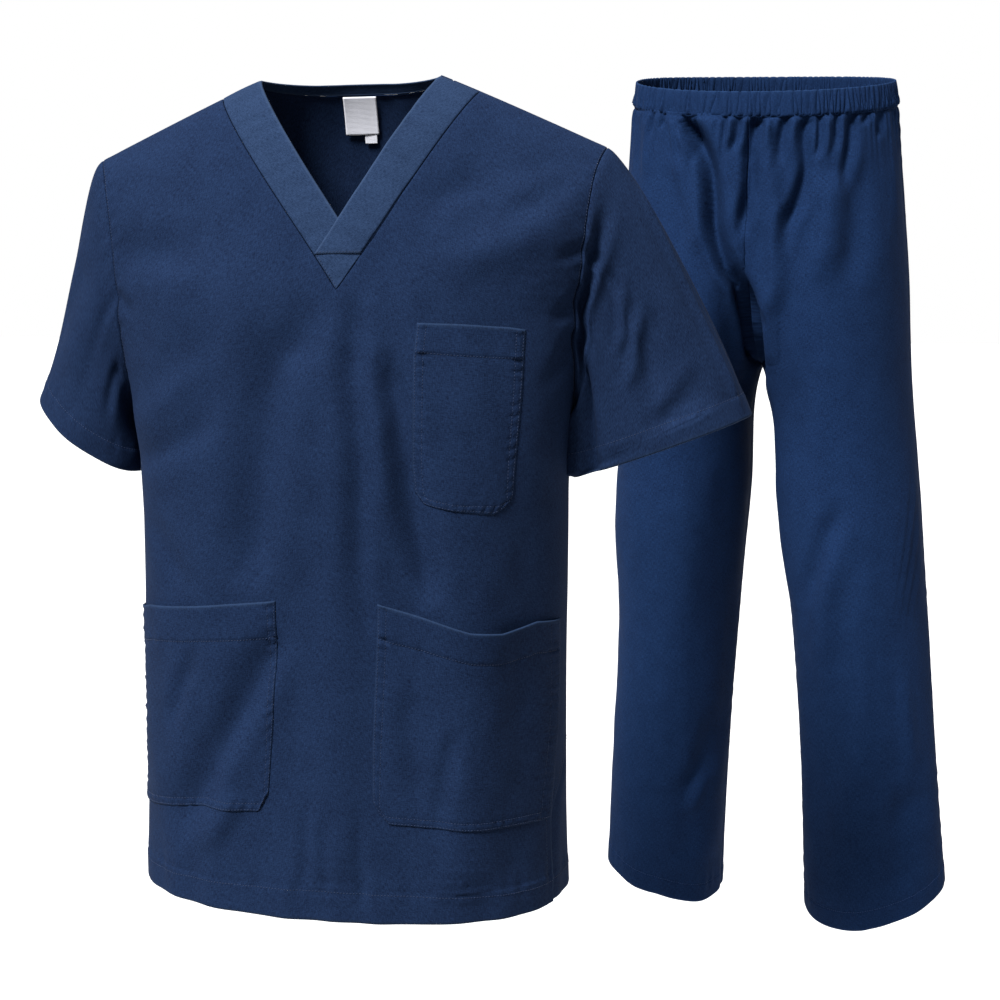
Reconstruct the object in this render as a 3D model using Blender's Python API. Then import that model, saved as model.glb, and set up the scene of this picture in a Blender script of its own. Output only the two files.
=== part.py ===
"""Medical scrubs: a short-sleeved V-neck tunic and elasticated trousers, in worn shape with no wearer.

Metres, +Z up. The front faces -Y and +X is the wearer's left. The origin is the middle of the tunic's
neck at the height of its neck points, where the wearer holds the garment up. Every piece of cloth is
a thin closed wall, worked out on a smooth garment form from named sizes and short tables.
"""
from collections import namedtuple
from functools import partial

import bpy
import numpy as np

COLLECTION = "medical_scrubs"

# ---- cloth ----
WALL = 0.0015            # one layer of cloth with its turnings
BAND_WALL = 0.002        # a neck band is folded double
ELASTIC_WALL = 0.003     # cloth on both sides of the elastic
LABEL_WALL = 0.001
SEAM = 0.0003            # space between two pieces that are sewn together

# ---- tunic form ----
NECK_X = 0.086           # half the neck opening at the shoulder
SHOULDER_SLOPE = np.tan(np.radians(25.5))
NECK_ROUND = 0.050       # the shoulder lines meet over the neck in a curve of this size
RIDGE_TOP = SHOULDER_SLOPE * (np.hypot(NECK_X, NECK_ROUND) - NECK_ROUND)
SHOULDER_LEAN = 0.020    # the left shoulder is carried a little higher
HEM_LEAN = 0.028         # and the left side hangs a little lower
NECK_SHIFT = 0.006       # the V has slipped to the left
HEM_SHIFT = 0.0012       # and the hem has swung that way too
ROW_DROOP = 0.022        # pocket lines fall away towards the sides
HEM_NORMAL_LEVEL = 1.98  # the droop ends abruptly at the hem (level 2), so directions stop changing here
CHEST_Z = -0.395         # where the front reaches its full depth
UNDERARM_Z = -0.315
HEM_Z = -0.779
TOP_WIDTH = 0.286        # half width of the form at the shoulder line
CHEST_WIDTH = 0.208
ARMHOLE_CUT = np.radians(34)            # how far before the side the armhole starts
FRONT_ROUND, BACK_ROUND = 1.2, 0.95     # larger is flatter just below the shoulder
DROP_ROUND = 1.25

BodyRow = namedtuple("BodyRow", "z half_width front_depth back_depth squareness")
BODY = [
    BodyRow(CHEST_Z, CHEST_WIDTH, 0.138, 0.112, 2.35),
    BodyRow(-0.520, 0.206, 0.141, 0.114, 2.45),
    BodyRow(-0.650, 0.206, 0.145, 0.118, 2.5),
    BodyRow(HEM_Z, 0.208, 0.149, 0.122, 2.45),
]

# ---- neck ----
V_SEAM_X, V_SEAM_Z = 0.124, -0.197      # V seam: half width at the shoulder, height of its point
V_EDGE_Z = -0.132                       # height of the finished edge's point
BACK_SEAM_X, BACK_SEAM_Z = 0.098, -0.0135
BACK_BAND_HEIGHT = 0.0105
LABEL_HALF_WIDTH, LABEL_HEIGHT = 0.0165, 0.036
TAB_HALF_WIDTH, TAB_HEIGHT = 0.006, 0.008
LABEL_ROOM = 0.0018                     # the label hangs this far inside the back

# ---- pockets: angles from the middle front, heights of top and bottom ----
Pocket = namedtuple("Pocket", "side inner_column outer_column top_z bottom_z clipped gape")
CHEST_POCKET_Z = -0.233
LOW_POCKET_TOP, LOW_POCKET_BOTTOM = -0.487, -0.687
POCKETS = {
    "pocket_chest": Pocket(1, 2, 6, CHEST_POCKET_Z, CHEST_Z, "both", 0.0008),
    "pocket_left": Pocket(1, 1, 11, LOW_POCKET_TOP, LOW_POCKET_BOTTOM, "inner", 0.0024),
    "pocket_right": Pocket(-1, 1, 11, LOW_POCKET_TOP, LOW_POCKET_BOTTOM, "inner", 0.0020),
}
POCKET_EDGE = np.radians(9.5)           # inner edge of the low pockets, and the first column
POCKET_TAPER = 0.065                    # the columns draw in by this share up to the chest pocket's top

# ---- side vents ----
VENT_TOP_Z, VENT_FULL_Z = -0.610, -0.680
VENT_FRONT = np.radians(17)             # how far the front's edge draws back from the side
VENT_LAP = np.radians(3)                # the back's edge follows it and reaches this far under it,
VENT_LAP_START = 0.3                    # from this share of the vent's opening on,
VENT_LAP_DEPTH = 0.0030                 # this far inside it
VENT_LAP_REACH = np.radians(8)

# ---- folds: a soft trough (+ depth) or ridge (- depth) along a bent line through three points seen
# from the front; width is its half width ----
Fold = namedtuple("Fold", "depth width top_x top_z mid_x mid_z low_x low_z")
FRONT_FOLDS = [
    Fold(0.0070, 0.024, -0.020, -0.215, -0.078, -0.310, -0.092, -0.500),
    Fold(0.0055, 0.028, -0.066, -0.500, -0.090, -0.600, -0.160, -0.720),
    Fold(-0.0050, 0.034, -0.012, -0.300, -0.010, -0.520, -0.008, -0.760),
    Fold(0.0050, 0.022, 0.036, -0.240, 0.062, -0.340, 0.092, -0.500),
    Fold(0.0040, 0.030, -0.200, -0.150, -0.150, -0.155, -0.090, -0.145),
    Fold(0.0050, 0.028, 0.095, -0.095, 0.125, -0.105, 0.165, -0.115),
    Fold(-0.0040, 0.028, 0.090, -0.165, 0.145, -0.150, 0.205, -0.125),
    Fold(-0.0045, 0.026, 0.118, -0.430, 0.120, -0.600, 0.116, -0.765),
    Fold(0.0045, 0.028, 0.165, -0.400, 0.166, -0.580, 0.168, -0.765),
]
BACK_FOLDS = [
    Fold(0.0060, 0.028, -0.035, -0.170, -0.072, -0.400, -0.060, -0.700),
    Fold(0.0060, 0.028, 0.052, -0.190, 0.085, -0.420, 0.092, -0.740),
    Fold(-0.0045, 0.032, 0.006, -0.240, 0.010, -0.480, 0.018, -0.765),
    Fold(0.0045, 0.024, -0.190, -0.150, -0.120, -0.140, -0.055, -0.160),
    Fold(0.0045, 0.024, 0.195, -0.165, 0.120, -0.145, 0.050, -0.150),
    Fold(0.0045, 0.026, -0.146, -0.380, -0.140, -0.560, -0.146, -0.765),
]

# ---- sleeves: the cuff is an ellipse; tilt lifts its outer side, turn swings it about Z, and drop is
# how soon the sleeve turns down from the shoulder ----
Sleeve = namedtuple("Sleeve", "side x y z half_width half_depth tilt turn drop")
SLEEVES = {
    "sleeve_left": Sleeve(1, 0.2985, 0.006, -0.348, 0.0895, 0.047, 20, 0, 0.45),
    "sleeve_right": Sleeve(-1, 0.267, 0.024, -0.340, 0.070, 0.051, 34, 26, 0.70),
}
SLEEVE_START, SLEEVE_END = 0.45, 0.80   # how stiffly it leaves the armhole and runs into the cuff
SleeveFold = namedtuple("SleeveFold", "depth width around along end_around end_along")
SLEEVE_FOLDS = [
    SleeveFold(0.0050, 0.020, 0.30, 0.18, 0.20, 0.75),
    SleeveFold(-0.0040, 0.018, 0.22, 0.15, 0.12, 0.70),
    SleeveFold(0.0045, 0.020, 0.70, 0.15, 0.82, 0.75),
    SleeveFold(-0.0040, 0.018, 0.78, 0.20, 0.88, 0.65),
]

# ---- trousers, in their own frame: origin at the middle of the waist's top edge ----
TROUSERS_AT = (0.404, 0.602, 0.036)
TROUSERS_TURN = np.radians(-12)
WAISTBAND_HEIGHT = 0.031
WAIST_DIP = 0.016        # the front of the waist sits this much lower, and the back higher
DIP_FADE_Z = -0.30
CROTCH_Z = -0.345
LEG_END_Z = -1.021
WAIST_LEAN = 0.020       # the waist's left side sits this much lower for each metre across
GATHERS = 110
GATHER_DEPTH = 0.0016
SOFT_GATHERS, SOFT_GATHER_DEPTH, SOFT_GATHER_LENGTH = 6, 0.0032, 0.075  # for a quarter of the waist

# inner is the distance from the middle to the leg's inner side: negative where the legs join
LegRow = namedtuple("LegRow", "z outer inner centre_y half_depth squareness")
LEGS = {
    "left": [
        LegRow(0.000, 0.155, -0.164, 0.000, 0.115, 2.2),
        LegRow(-0.100, 0.165, -0.140, 0.000, 0.122, 2.2),
        LegRow(-0.220, 0.176, -0.078, 0.000, 0.128, 2.1),
        LegRow(CROTCH_Z, 0.184, 0.0004, -0.004, 0.120, 2.05),
        LegRow(-0.500, 0.200, 0.031, -0.012, 0.098, 2.0),
        LegRow(-0.640, 0.213, 0.046, -0.020, 0.084, 2.0),
        LegRow(-0.800, 0.2265, 0.0625, -0.028, 0.074, 2.0),
        LegRow(LEG_END_Z, 0.2475, 0.0740, -0.034, 0.066, 1.8),
    ],
    "right": [
        LegRow(0.000, 0.164, -0.155, 0.000, 0.115, 2.2),
        LegRow(-0.100, 0.171, -0.138, 0.000, 0.122, 2.2),
        LegRow(-0.220, 0.178, -0.078, 0.000, 0.128, 2.1),
        LegRow(CROTCH_Z, 0.181, 0.0004, 0.004, 0.120, 2.05),
        LegRow(-0.500, 0.183, 0.015, 0.012, 0.098, 2.0),
        LegRow(-0.640, 0.186, 0.027, 0.020, 0.086, 2.0),
        LegRow(-0.800, 0.192, 0.039, 0.028, 0.080, 2.0),
        LegRow(LEG_END_Z, 0.200, 0.050, 0.034, 0.076, 2.4),
    ],
}
# each hem's height above LEG_END_Z, and how much lower it hangs at its front and at its inner side
Hem = namedtuple("Hem", "lift front inner")
HEMS = {"left": Hem(0.016, 0.028, 0.020), "right": Hem(0.0, 0.016, 0.022)}
TROUSER_FRONT_FOLDS = [
    Fold(0.0075, 0.018, -0.110, -0.045, -0.068, -0.140, -0.064, -0.215),
    Fold(0.0085, 0.022, -0.062, -0.205, -0.030, -0.270, -0.006, -0.345),
    Fold(0.0050, 0.014, -0.014, -0.045, -0.024, -0.110, -0.030, -0.190),
    Fold(0.0050, 0.016, 0.046, -0.045, 0.044, -0.130, 0.016, -0.240),
    Fold(-0.0050, 0.022, 0.070, -0.070, 0.066, -0.160, 0.060, -0.240),
    Fold(-0.0050, 0.018, -0.096, -0.070, -0.094, -0.150, -0.086, -0.215),
    Fold(0.0060, 0.022, -0.030, -0.400, -0.062, -0.560, -0.072, -0.700),
    Fold(0.0050, 0.020, -0.060, -0.760, -0.080, -0.830, -0.116, -0.900),
    Fold(-0.0050, 0.026, 0.080, -0.540, 0.068, -0.640, 0.062, -0.740),
    Fold(0.0050, 0.020, 0.094, -0.500, 0.062, -0.560, 0.040, -0.640),
    Fold(0.0050, 0.024, 0.148, -0.580, 0.158, -0.720, 0.112, -0.910),
]
TROUSER_BACK_FOLDS = [
    Fold(0.0060, 0.020, -0.080, -0.050, -0.070, -0.160, -0.030, -0.300),
    Fold(0.0060, 0.020, 0.076, -0.055, 0.072, -0.160, 0.034, -0.310),
    Fold(0.0050, 0.022, -0.120, -0.380, -0.110, -0.520, -0.120, -0.680),
    Fold(0.0050, 0.022, 0.120, -0.390, 0.112, -0.530, 0.128, -0.700),
    Fold(-0.0050, 0.026, -0.090, -0.600, -0.110, -0.760, -0.120, -0.940),
    Fold(-0.0050, 0.026, 0.100, -0.620, 0.126, -0.780, 0.142, -0.950),
]

# ---- how finely each form is divided ----
NECK_ROWS, BREAST_ROWS, ARMHOLE_ROWS, CHEST_ROWS = 7, 2, 3, 3
WAIST_ROWS, POCKET_ROWS, HEM_ROWS = 4, 8, 4
BACK_NECK_ROWS, BACK_ARMHOLE_ROWS = 5, 7
FRONT_COLUMNS, BACK_COLUMNS = 11, 8
KNEE_COLUMN = 7          # the front's columns beyond this one close up towards the armhole and the vent
SLEEVE_ROWS = 9
BAND_ACROSS = 3
LEG_COLUMNS, HIP_ROWS, LEG_ROWS = 11, 12, 15


# ---- curves and folds ----
def signed_power(value, exponent):
    return np.sign(value) * np.abs(value) ** exponent


def smooth_step(low, high, value):
    t = np.clip((value - low) / (high - low), 0, 1)
    return t * t * (3 - 2 * t)


def table_curve(rows, column, at):
    """A table column at any height: cubics between its rows, with averaged slopes."""
    z = np.array([row.z for row in rows])[::-1]
    value = np.array([getattr(row, column) for row in rows])[::-1]
    slope = np.gradient(value, z)
    at = np.clip(at, z[0], z[-1])
    i = np.clip(np.searchsorted(z, at, side="right") - 1, 0, len(z) - 2)
    span = z[i + 1] - z[i]
    t = (at - z[i]) / span
    return ((2 * t**3 - 3 * t**2 + 1) * value[i] + (t**3 - 2 * t**2 + t) * span * slope[i]
            + (3 * t**2 - 2 * t**3) * value[i + 1] + (t**3 - t**2) * span * slope[i + 1])


def fold_depth(folds, x, z, samples=25):
    """Sum of the folds at points seen from the front: a bell across each line, fading at its ends."""
    total = np.zeros(np.shape(x))
    t = np.linspace(0, 1, samples)
    for fold in folds:
        line_x = (1 - t) ** 2 * fold.top_x + 2 * t * (1 - t) * fold.mid_x + t**2 * fold.low_x
        line_z = (1 - t) ** 2 * fold.top_z + 2 * t * (1 - t) * fold.mid_z + t**2 * fold.low_z
        away = np.hypot(x[..., None] - line_x, z[..., None] - line_z)
        nearest = np.argmin(away, axis=-1)
        fade = np.sin(np.pi * (0.08 + 0.84 * t[nearest])) ** 0.8
        total += fold.depth * fade * np.exp(-((away.min(axis=-1) / fold.width) ** 2))
    return total


def normals_of(surface, a, b, step=1e-4):
    """Unit normals of a surface of two parameters, from its slopes along both."""
    along_a = surface(a + step, b) - surface(a - step, b)
    along_b = surface(a, b + step) - surface(a, b - step)
    normal = np.cross(along_b, along_a)
    return normal / np.linalg.norm(normal, axis=-1, keepdims=True)


# ---- the tunic's form. theta: 0 is the middle front, +-pi/2 the sides and +-pi the middle back.
# level: 0 is the shoulder line, 1 is CHEST_Z and 2 the hem ----
def torso(theta, level):
    theta, level = np.broadcast_arrays(theta, level)
    phi = np.minimum(level, 1) * np.pi / 2
    low_z = CHEST_Z + np.maximum(level - 1, 0) * (HEM_Z - CHEST_Z)
    power = 2 / table_curve(BODY, "squareness", low_z)
    width = table_curve(BODY, "half_width", low_z) + (TOP_WIDTH - CHEST_WIDTH) * np.cos(phi) ** 2
    is_front = np.cos(theta) >= 0
    depth = np.where(is_front, table_curve(BODY, "front_depth", low_z),
                     table_curve(BODY, "back_depth", low_z))
    depth = depth * signed_power(np.sin(phi), np.where(is_front, FRONT_ROUND, BACK_ROUND))
    drop = np.cos(phi) ** DROP_ROUND
    x = width * signed_power(np.sin(theta), power)
    y = -depth * signed_power(np.cos(theta), power)
    z = low_z + (RIDGE_TOP - CHEST_Z) * drop - SHOULDER_SLOPE * shoulder_run(x) * drop**2
    waist = np.sin(np.pi * np.clip(level - 1, 0, 1)) ** 0.7
    z = z - ROW_DROOP * waist * np.abs(np.sin(theta)) ** 1.2
    return np.stack([x, y, z], -1)


def shoulder_run(x):
    """How far out along the shoulder line x is, rounded over the neck."""
    return np.hypot(x, NECK_ROUND) - NECK_ROUND


def hang(points):
    """The small unevenness of a worn tunic, the same for everything at one place."""
    x, y, z = points[..., 0], points[..., 1], points[..., 2]
    high, low = smooth_step(CHEST_Z, -0.05, z), smooth_step(CHEST_Z, HEM_Z, z)
    by_neck = smooth_step(0.2, 0, np.abs(x)) * smooth_step(0, -0.07, y) * np.exp(-(((z + 0.17) / 0.1) ** 2))
    shift = NECK_SHIFT * by_neck + HEM_SHIFT * smooth_step(UNDERARM_Z, LOW_POCKET_TOP, z)
    return np.stack([x + shift, y, z + x * (SHOULDER_LEAN * high - HEM_LEAN * low)], -1)


def torso_cloth(theta, level):
    """Points of the folded cloth on the form, and its outward directions."""
    theta, level = np.broadcast_arrays(theta, np.clip(level, 2e-4, 2 - 2e-4))
    base = torso(theta, level)
    outward = normals_of(torso, theta, np.minimum(level, HEM_NORMAL_LEVEL))
    folds = np.where(np.cos(theta) >= 0, fold_depth(FRONT_FOLDS, base[..., 0], base[..., 2]),
                     fold_depth(BACK_FOLDS, base[..., 0], base[..., 2]))
    folds = folds * smooth_step(0, 0.3, np.abs(np.cos(theta))) * smooth_step(0.05, 0.35, level)
    return hang(base - outward * folds[..., None]), outward


def level_at(z, x=0.0):
    """Level of the row that passes height z at distance x from the middle, above the chest."""
    a, b, c = -SHOULDER_SLOPE * shoulder_run(x), RIDGE_TOP - CHEST_Z, CHEST_Z - z
    flat = np.abs(a) < 1e-9
    a = np.where(flat, 1, a)
    drop = np.where(flat, -c / b, (-b + np.sqrt(b * b - 4 * a * c)) / (2 * a))
    return 2 / np.pi * np.arccos(np.clip(drop, 0, 1) ** (1 / DROP_ROUND))


def low_level(z):
    return 1 + (z - CHEST_Z) / (HEM_Z - CHEST_Z)


def theta_at(x, level):
    """Angle from the middle where a row above the chest reaches x."""
    width = CHEST_WIDTH + (TOP_WIDTH - CHEST_WIDTH) * np.cos(np.minimum(level, 1) * np.pi / 2) ** 2
    return np.arcsin(signed_power(np.clip(x / width, -1, 1), BODY[0].squareness / 2))


UNDERARM_LEVEL = float(level_at(UNDERARM_Z, CHEST_WIDTH))
V_SEAM_LEVEL = float(level_at(V_SEAM_Z))
BACK_SEAM_LEVEL = float(level_at(BACK_SEAM_Z))
BACK_EDGE_LEVEL = float(level_at(BACK_SEAM_Z + BACK_BAND_HEIGHT))
POCKET_LEVEL = float(level_at(CHEST_POCKET_Z, 0.12))


def vent(level):
    """0 above the side vents and 1 where they are fully open."""
    return smooth_step(low_level(VENT_TOP_Z), low_level(VENT_FULL_Z), level)


def side_theta(level, vent_angle):
    """Angle of a panel's outer edge: the armhole above the underarm, the side seam and vent below."""
    along = np.clip(level / UNDERARM_LEVEL, 0, 1)
    return np.pi / 2 - ARMHOLE_CUT * np.cos(np.pi / 2 * along**1.5) ** 0.7 - vent_angle * vent(level)


def shoulder_z(x):
    return RIDGE_TOP - SHOULDER_SLOPE * shoulder_run(x)


def v_seam_x(level):
    """Half width of the straight V seam on each row, found by halving; 0 below its point."""
    drop = np.cos(np.minimum(level, 1) * np.pi / 2) ** DROP_ROUND
    low, high = np.zeros_like(drop), np.full_like(drop, V_SEAM_X)
    for _ in range(40):
        x = (low + high) / 2
        row_z = CHEST_Z + (RIDGE_TOP - CHEST_Z) * drop - SHOULDER_SLOPE * shoulder_run(x) * drop**2
        above = row_z > V_SEAM_Z + (shoulder_z(V_SEAM_X) - V_SEAM_Z) * x / V_SEAM_X
        low, high = np.where(above, x, low), np.where(above, high, x)
    return np.where(x < 1e-6, 0, x)


def back_seam_x(level):
    """Half width of the round back neck seam on each row, 0 below its lowest point."""
    return BACK_SEAM_X * np.sqrt(np.maximum(1 - (level / BACK_SEAM_LEVEL) ** 2, 0))


# ---- closed walls ----
def grid_faces(index, wrap=False, clipped=()):
    """Triangles of a grid of vertex numbers, split the same way in every layer so that layers never
    cross. wrap joins the last column to the first, and a clipped corner is cut off its cell."""
    if wrap:
        index = np.concatenate([index, index[:, :1]], axis=1)
    corners = [index[:-1, :-1], index[:-1, 1:], index[1:, 1:], index[1:, :-1]]
    faces = []
    for a, b, c, d in np.stack(corners, -1).reshape(-1, 4).tolist():
        kept = [v for v in (a, b, c, d) if v not in clipped]
        faces += [kept] if len(kept) == 3 else [[a, b, c], [a, c, d]]
    return faces


def add_wall(name, outer, inner, faces, material, parent=None):
    """A closed mesh: the outer layer, the inner layer and a rim round every open edge."""
    outer, inner = outer.reshape(-1, 3), inner.reshape(-1, 3)
    used = sorted({v for face in faces for v in face})
    number = {v: i for i, v in enumerate(used)}
    faces = [tuple(number[v] for v in face) for face in faces]
    count = len(used)
    edges = {edge for face in faces for edge in zip(face, face[1:] + face[:1])}
    rim = [(b, a, a + count, b + count) for a, b in sorted(edges) if (b, a) not in edges]
    lining = [tuple(v + count for v in reversed(face)) for face in faces]
    mesh = bpy.data.meshes.new(name)
    points = np.concatenate([outer[used], inner[used]])
    mesh.from_pydata(points.tolist(), [], faces + lining + rim)
    mesh.shade_smooth()
    mesh.set_sharp_from_angle(angle=np.radians(50))
    if signed_volume(mesh, points) < 0:
        mesh.flip_normals()
    mesh.materials.append(material)
    piece = bpy.data.objects.new(name, mesh)
    piece.parent = parent
    bpy.data.collections[COLLECTION].objects.link(piece)
    return piece


def signed_volume(mesh, points):
    mesh.calc_loop_triangles()
    corners = points[np.array([t.vertices for t in mesh.loop_triangles])]
    return np.einsum("ij,ij->i", corners[:, 0], np.cross(corners[:, 1], corners[:, 2])).sum() / 6


def grid_normals(points, wrap=False):
    """Unit normals of a grid of points, from the slopes between neighbours."""
    if wrap:
        around = np.roll(points, -1, axis=1) - np.roll(points, 1, axis=1)
    else:
        around = np.gradient(points, axis=1)
    normal = np.cross(np.gradient(points, axis=0), around)
    return normal / np.linalg.norm(normal, axis=-1, keepdims=True)


# ---- tunic ----
def low_rows():
    """Rows below the underarm, which the panels and pockets share."""
    return np.concatenate([
        np.linspace(UNDERARM_LEVEL, 1, CHEST_ROWS, endpoint=False),
        np.linspace(1, low_level(LOW_POCKET_TOP), WAIST_ROWS, endpoint=False),
        np.linspace(low_level(LOW_POCKET_TOP), low_level(LOW_POCKET_BOTTOM), POCKET_ROWS, endpoint=False),
        np.linspace(low_level(LOW_POCKET_BOTTOM), 2, HEM_ROWS + 1)])


def front_rows():
    return np.concatenate([
        np.linspace(0, V_SEAM_LEVEL, NECK_ROWS, endpoint=False),
        np.linspace(V_SEAM_LEVEL, POCKET_LEVEL, BREAST_ROWS, endpoint=False),
        np.linspace(POCKET_LEVEL, UNDERARM_LEVEL, ARMHOLE_ROWS, endpoint=False), low_rows()])


def back_rows():
    neck = BACK_SEAM_LEVEL * np.sin(np.linspace(0, np.pi / 2, BACK_NECK_ROWS, endpoint=False))
    below = np.linspace(BACK_SEAM_LEVEL, UNDERARM_LEVEL, BACK_ARMHOLE_ROWS, endpoint=False)
    return np.concatenate([neck, below, low_rows()])


def front_grid(side):
    """Points and outward directions of half the front, middle to side; side is +1 for the left."""
    levels = front_rows()[:, None]
    seam = v_seam_x(levels)
    inner = theta_at(np.where(seam > 0, seam + SEAM, 0), levels)
    outer = side_theta(levels, VENT_FRONT)
    spread = inner + (outer - inner) * np.linspace(0, 1, FRONT_COLUMNS + 1)
    fixed = np.concatenate([[0], np.linspace(POCKET_EDGE, np.pi / 2, FRONT_COLUMNS)])[None, :]
    fixed = fixed * (1 - POCKET_TAPER * smooth_step(1, POCKET_LEVEL, levels))
    knee = fixed[:, KNEE_COLUMN:KNEE_COLUMN + 1]
    squeezed = knee + (outer - knee) * (fixed - knee) / (fixed[:, -1:] - knee)
    fixed = np.where(fixed <= knee, fixed, squeezed)
    theta = spread + (fixed - spread) * smooth_step(V_SEAM_LEVEL - 0.1, POCKET_LEVEL, levels)
    points, outward = torso_cloth(side * theta, levels)
    points[0, :, 1] -= SEAM / 2
    points[:, -1, 1] -= SEAM / 2
    return points, outward


def back_grid(side):
    levels = back_rows()[:, None]
    seam = back_seam_x(levels)
    inner = theta_at(np.where(seam > 0, seam + SEAM, 0), levels)
    front_edge = side_theta(levels, -VENT_FRONT)
    outer = front_edge + VENT_LAP * smooth_step(VENT_LAP_START, 1, vent(levels))
    theta = inner + (outer - inner) * np.linspace(0, 1, BACK_COLUMNS + 1)
    points, outward = torso_cloth(side * (np.pi - theta), levels)
    under = smooth_step(0, VENT_LAP_START, vent(levels)) * smooth_step(-VENT_LAP_REACH, 0, theta - front_edge)
    points = points - outward * (VENT_LAP_DEPTH * under)[..., None]
    points[0, :, 1] += SEAM / 2
    points[:, -1, 1] += SEAM / 2
    return points, outward


def make_panel(name, grid, split_rows, material):
    """Both halves of a panel, welded down the middle below the neckline."""
    left, left_out = grid(1)
    right, right_out = grid(-1)
    rows, columns = left.shape[:2]
    index = np.arange(2 * rows * columns).reshape(2, rows, columns)
    index[1, split_rows:, 0] = index[0, split_rows:, 0]
    outer = np.stack([left, right])
    inner = outer - WALL * np.stack([left_out, right_out])
    faces = grid_faces(index[0]) + grid_faces(index[1][:, ::-1])
    return add_wall(name, outer, inner, faces, material)


def make_pocket(name, pocket, material):
    """A patch of the front's own points, moved out; its mouth stands a little open."""
    points, outward = front_grid(pocket.side)
    levels = front_rows()
    above = CHEST_Z - 1e-6
    top = POCKET_LEVEL if pocket.top_z > above else low_level(pocket.top_z)
    bottom = 1.0 if pocket.bottom_z > above else low_level(pocket.bottom_z)
    rows = slice(int(np.argmin(abs(levels - top))), int(np.argmin(abs(levels - bottom))) + 1)
    columns = slice(pocket.inner_column, pocket.outer_column + 1)
    points, outward = points[rows, columns], outward[rows, columns]
    count, width = points.shape[:2]
    down = np.linspace(0, 1, count)[:, None]
    across = np.linspace(0, 1, width)[None, :]
    gape = pocket.gape * np.sin(np.pi * across) * np.clip(1 - 3 * down, 0, 1)
    inner = points + outward * (SEAM + gape)[..., None]
    index = np.arange(count * width).reshape(count, width)
    clipped = {index[-1, 0]} | ({index[-1, -1]} if pocket.clipped == "both" else set())
    faces = grid_faces(index[:, ::pocket.side], clipped=clipped)
    return add_wall(name, inner + outward * WALL, inner, faces, material)


def armhole(side):
    """The armhole's loop from the shoulder tip down the front and up the back, and how it opens."""
    front, back = front_grid(side)[0], back_grid(side)[0]
    front_count = int(np.argmin(abs(front_rows() - UNDERARM_LEVEL)))
    back_count = int(np.argmin(abs(back_rows() - UNDERARM_LEVEL)))
    loop = np.concatenate([front[:front_count + 1, -1], back[back_count - 1:0:-1, -1]])
    levels = np.concatenate([front_rows()[:front_count + 1], back_rows()[back_count - 1:0:-1]])
    tip_and_underarm = [0, front_count]
    loop[tip_and_underarm, 1] = 0
    theta = side_theta(levels, 0)
    is_back = np.arange(len(levels)) > front_count
    theta = side * np.where(is_back, np.pi - theta, theta)
    safe = np.clip(levels, 2e-4, 2)
    away = (torso(theta + 1e-3, safe) - torso(theta - 1e-3, safe)) * np.where(is_back, -side, side)[:, None]
    away /= np.linalg.norm(away, axis=-1, keepdims=True)
    return loop, levels / UNDERARM_LEVEL, away, torso_cloth(theta, safe)[1]


def loop_fraction(loop, turn):
    """0 at the shoulder tip, 1/2 at the underarm and 1 back at the tip, by length along each half."""
    steps = np.linalg.norm(np.roll(loop, -1, axis=0) - loop, axis=-1)
    front, back = np.cumsum(np.r_[0, steps[:turn]]), np.cumsum(np.r_[0, steps[turn:]])
    return np.concatenate([front / front[-1] / 2, 0.5 + back[1:-1] / back[-1] / 2])


def sleeve_grid(sleeve):
    """A sleeve: curves from the armhole to the cuff, leaving along the shoulder, arriving straight."""
    loop, down, away, outward = armhole(sleeve.side)
    turn = int(np.argmax(down))
    fraction = loop_fraction(loop, turn)
    tilt, swing = np.radians(sleeve.tilt), np.radians(sleeve.turn)
    across = np.array([sleeve.side * np.cos(tilt) * np.cos(swing), np.cos(tilt) * np.sin(swing), np.sin(tilt)])
    back = np.array([-sleeve.side * np.sin(swing), np.cos(swing), 0.0])
    axis = np.cross(across, back)
    axis *= -np.sign(axis[2])
    centre = np.array([sleeve.side * sleeve.x, sleeve.y, sleeve.z])
    angle = 2 * np.pi * fraction[:, None]
    cuff = (centre + sleeve.half_width * np.cos(angle) * across
            - sleeve.half_depth * np.sin(angle) * back)
    outwards = np.array([sleeve.side, 0, -0.25])
    low = down[:, None] ** 2
    lead = (away + sleeve.drop * axis) * (1 - low) + outwards * low
    lead /= np.linalg.norm(lead, axis=-1, keepdims=True)
    start = loop + lead * 1.5 * SEAM
    reach = np.linalg.norm(cuff - start, axis=-1, keepdims=True)
    t = np.linspace(0, 1, SLEEVE_ROWS + 1)[:, None, None]
    points = ((2 * t**3 - 3 * t**2 + 1) * start + (t**3 - 2 * t**2 + t) * SLEEVE_START * reach * lead
              + (3 * t**2 - 2 * t**3) * cuff + (t**3 - t**2) * SLEEVE_END * reach * axis)
    normal = grid_normals(points, wrap=True)
    middle = points.mean(axis=1, keepdims=True)
    normal *= np.sign(np.einsum("ijk,ijk->ij", normal, points - middle).mean())
    around_length = np.linalg.norm(np.roll(cuff, -1, axis=0) - cuff, axis=-1).sum()
    folds = np.zeros(points.shape[:2])
    for fold in SLEEVE_FOLDS:
        s = np.clip((t[..., 0] - fold.along) / (fold.end_along - fold.along), 0, 1)
        centre_line = fold.around + (fold.end_around - fold.around) * s
        away_around = (fraction - centre_line) * around_length
        away_along = (t[..., 0] - np.clip(t[..., 0], fold.along, fold.end_along)) * reach.mean()
        folds += fold.depth * np.exp(-((away_around**2 + away_along**2) / fold.width**2))
    folds *= smooth_step(0, 0.3, t[..., 0])
    points = points - normal * folds[..., None]
    normal[0] = outward * (1 - low) + normal[0] * low
    normal[0] /= np.linalg.norm(normal[0], axis=-1, keepdims=True)
    return points, normal


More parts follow.
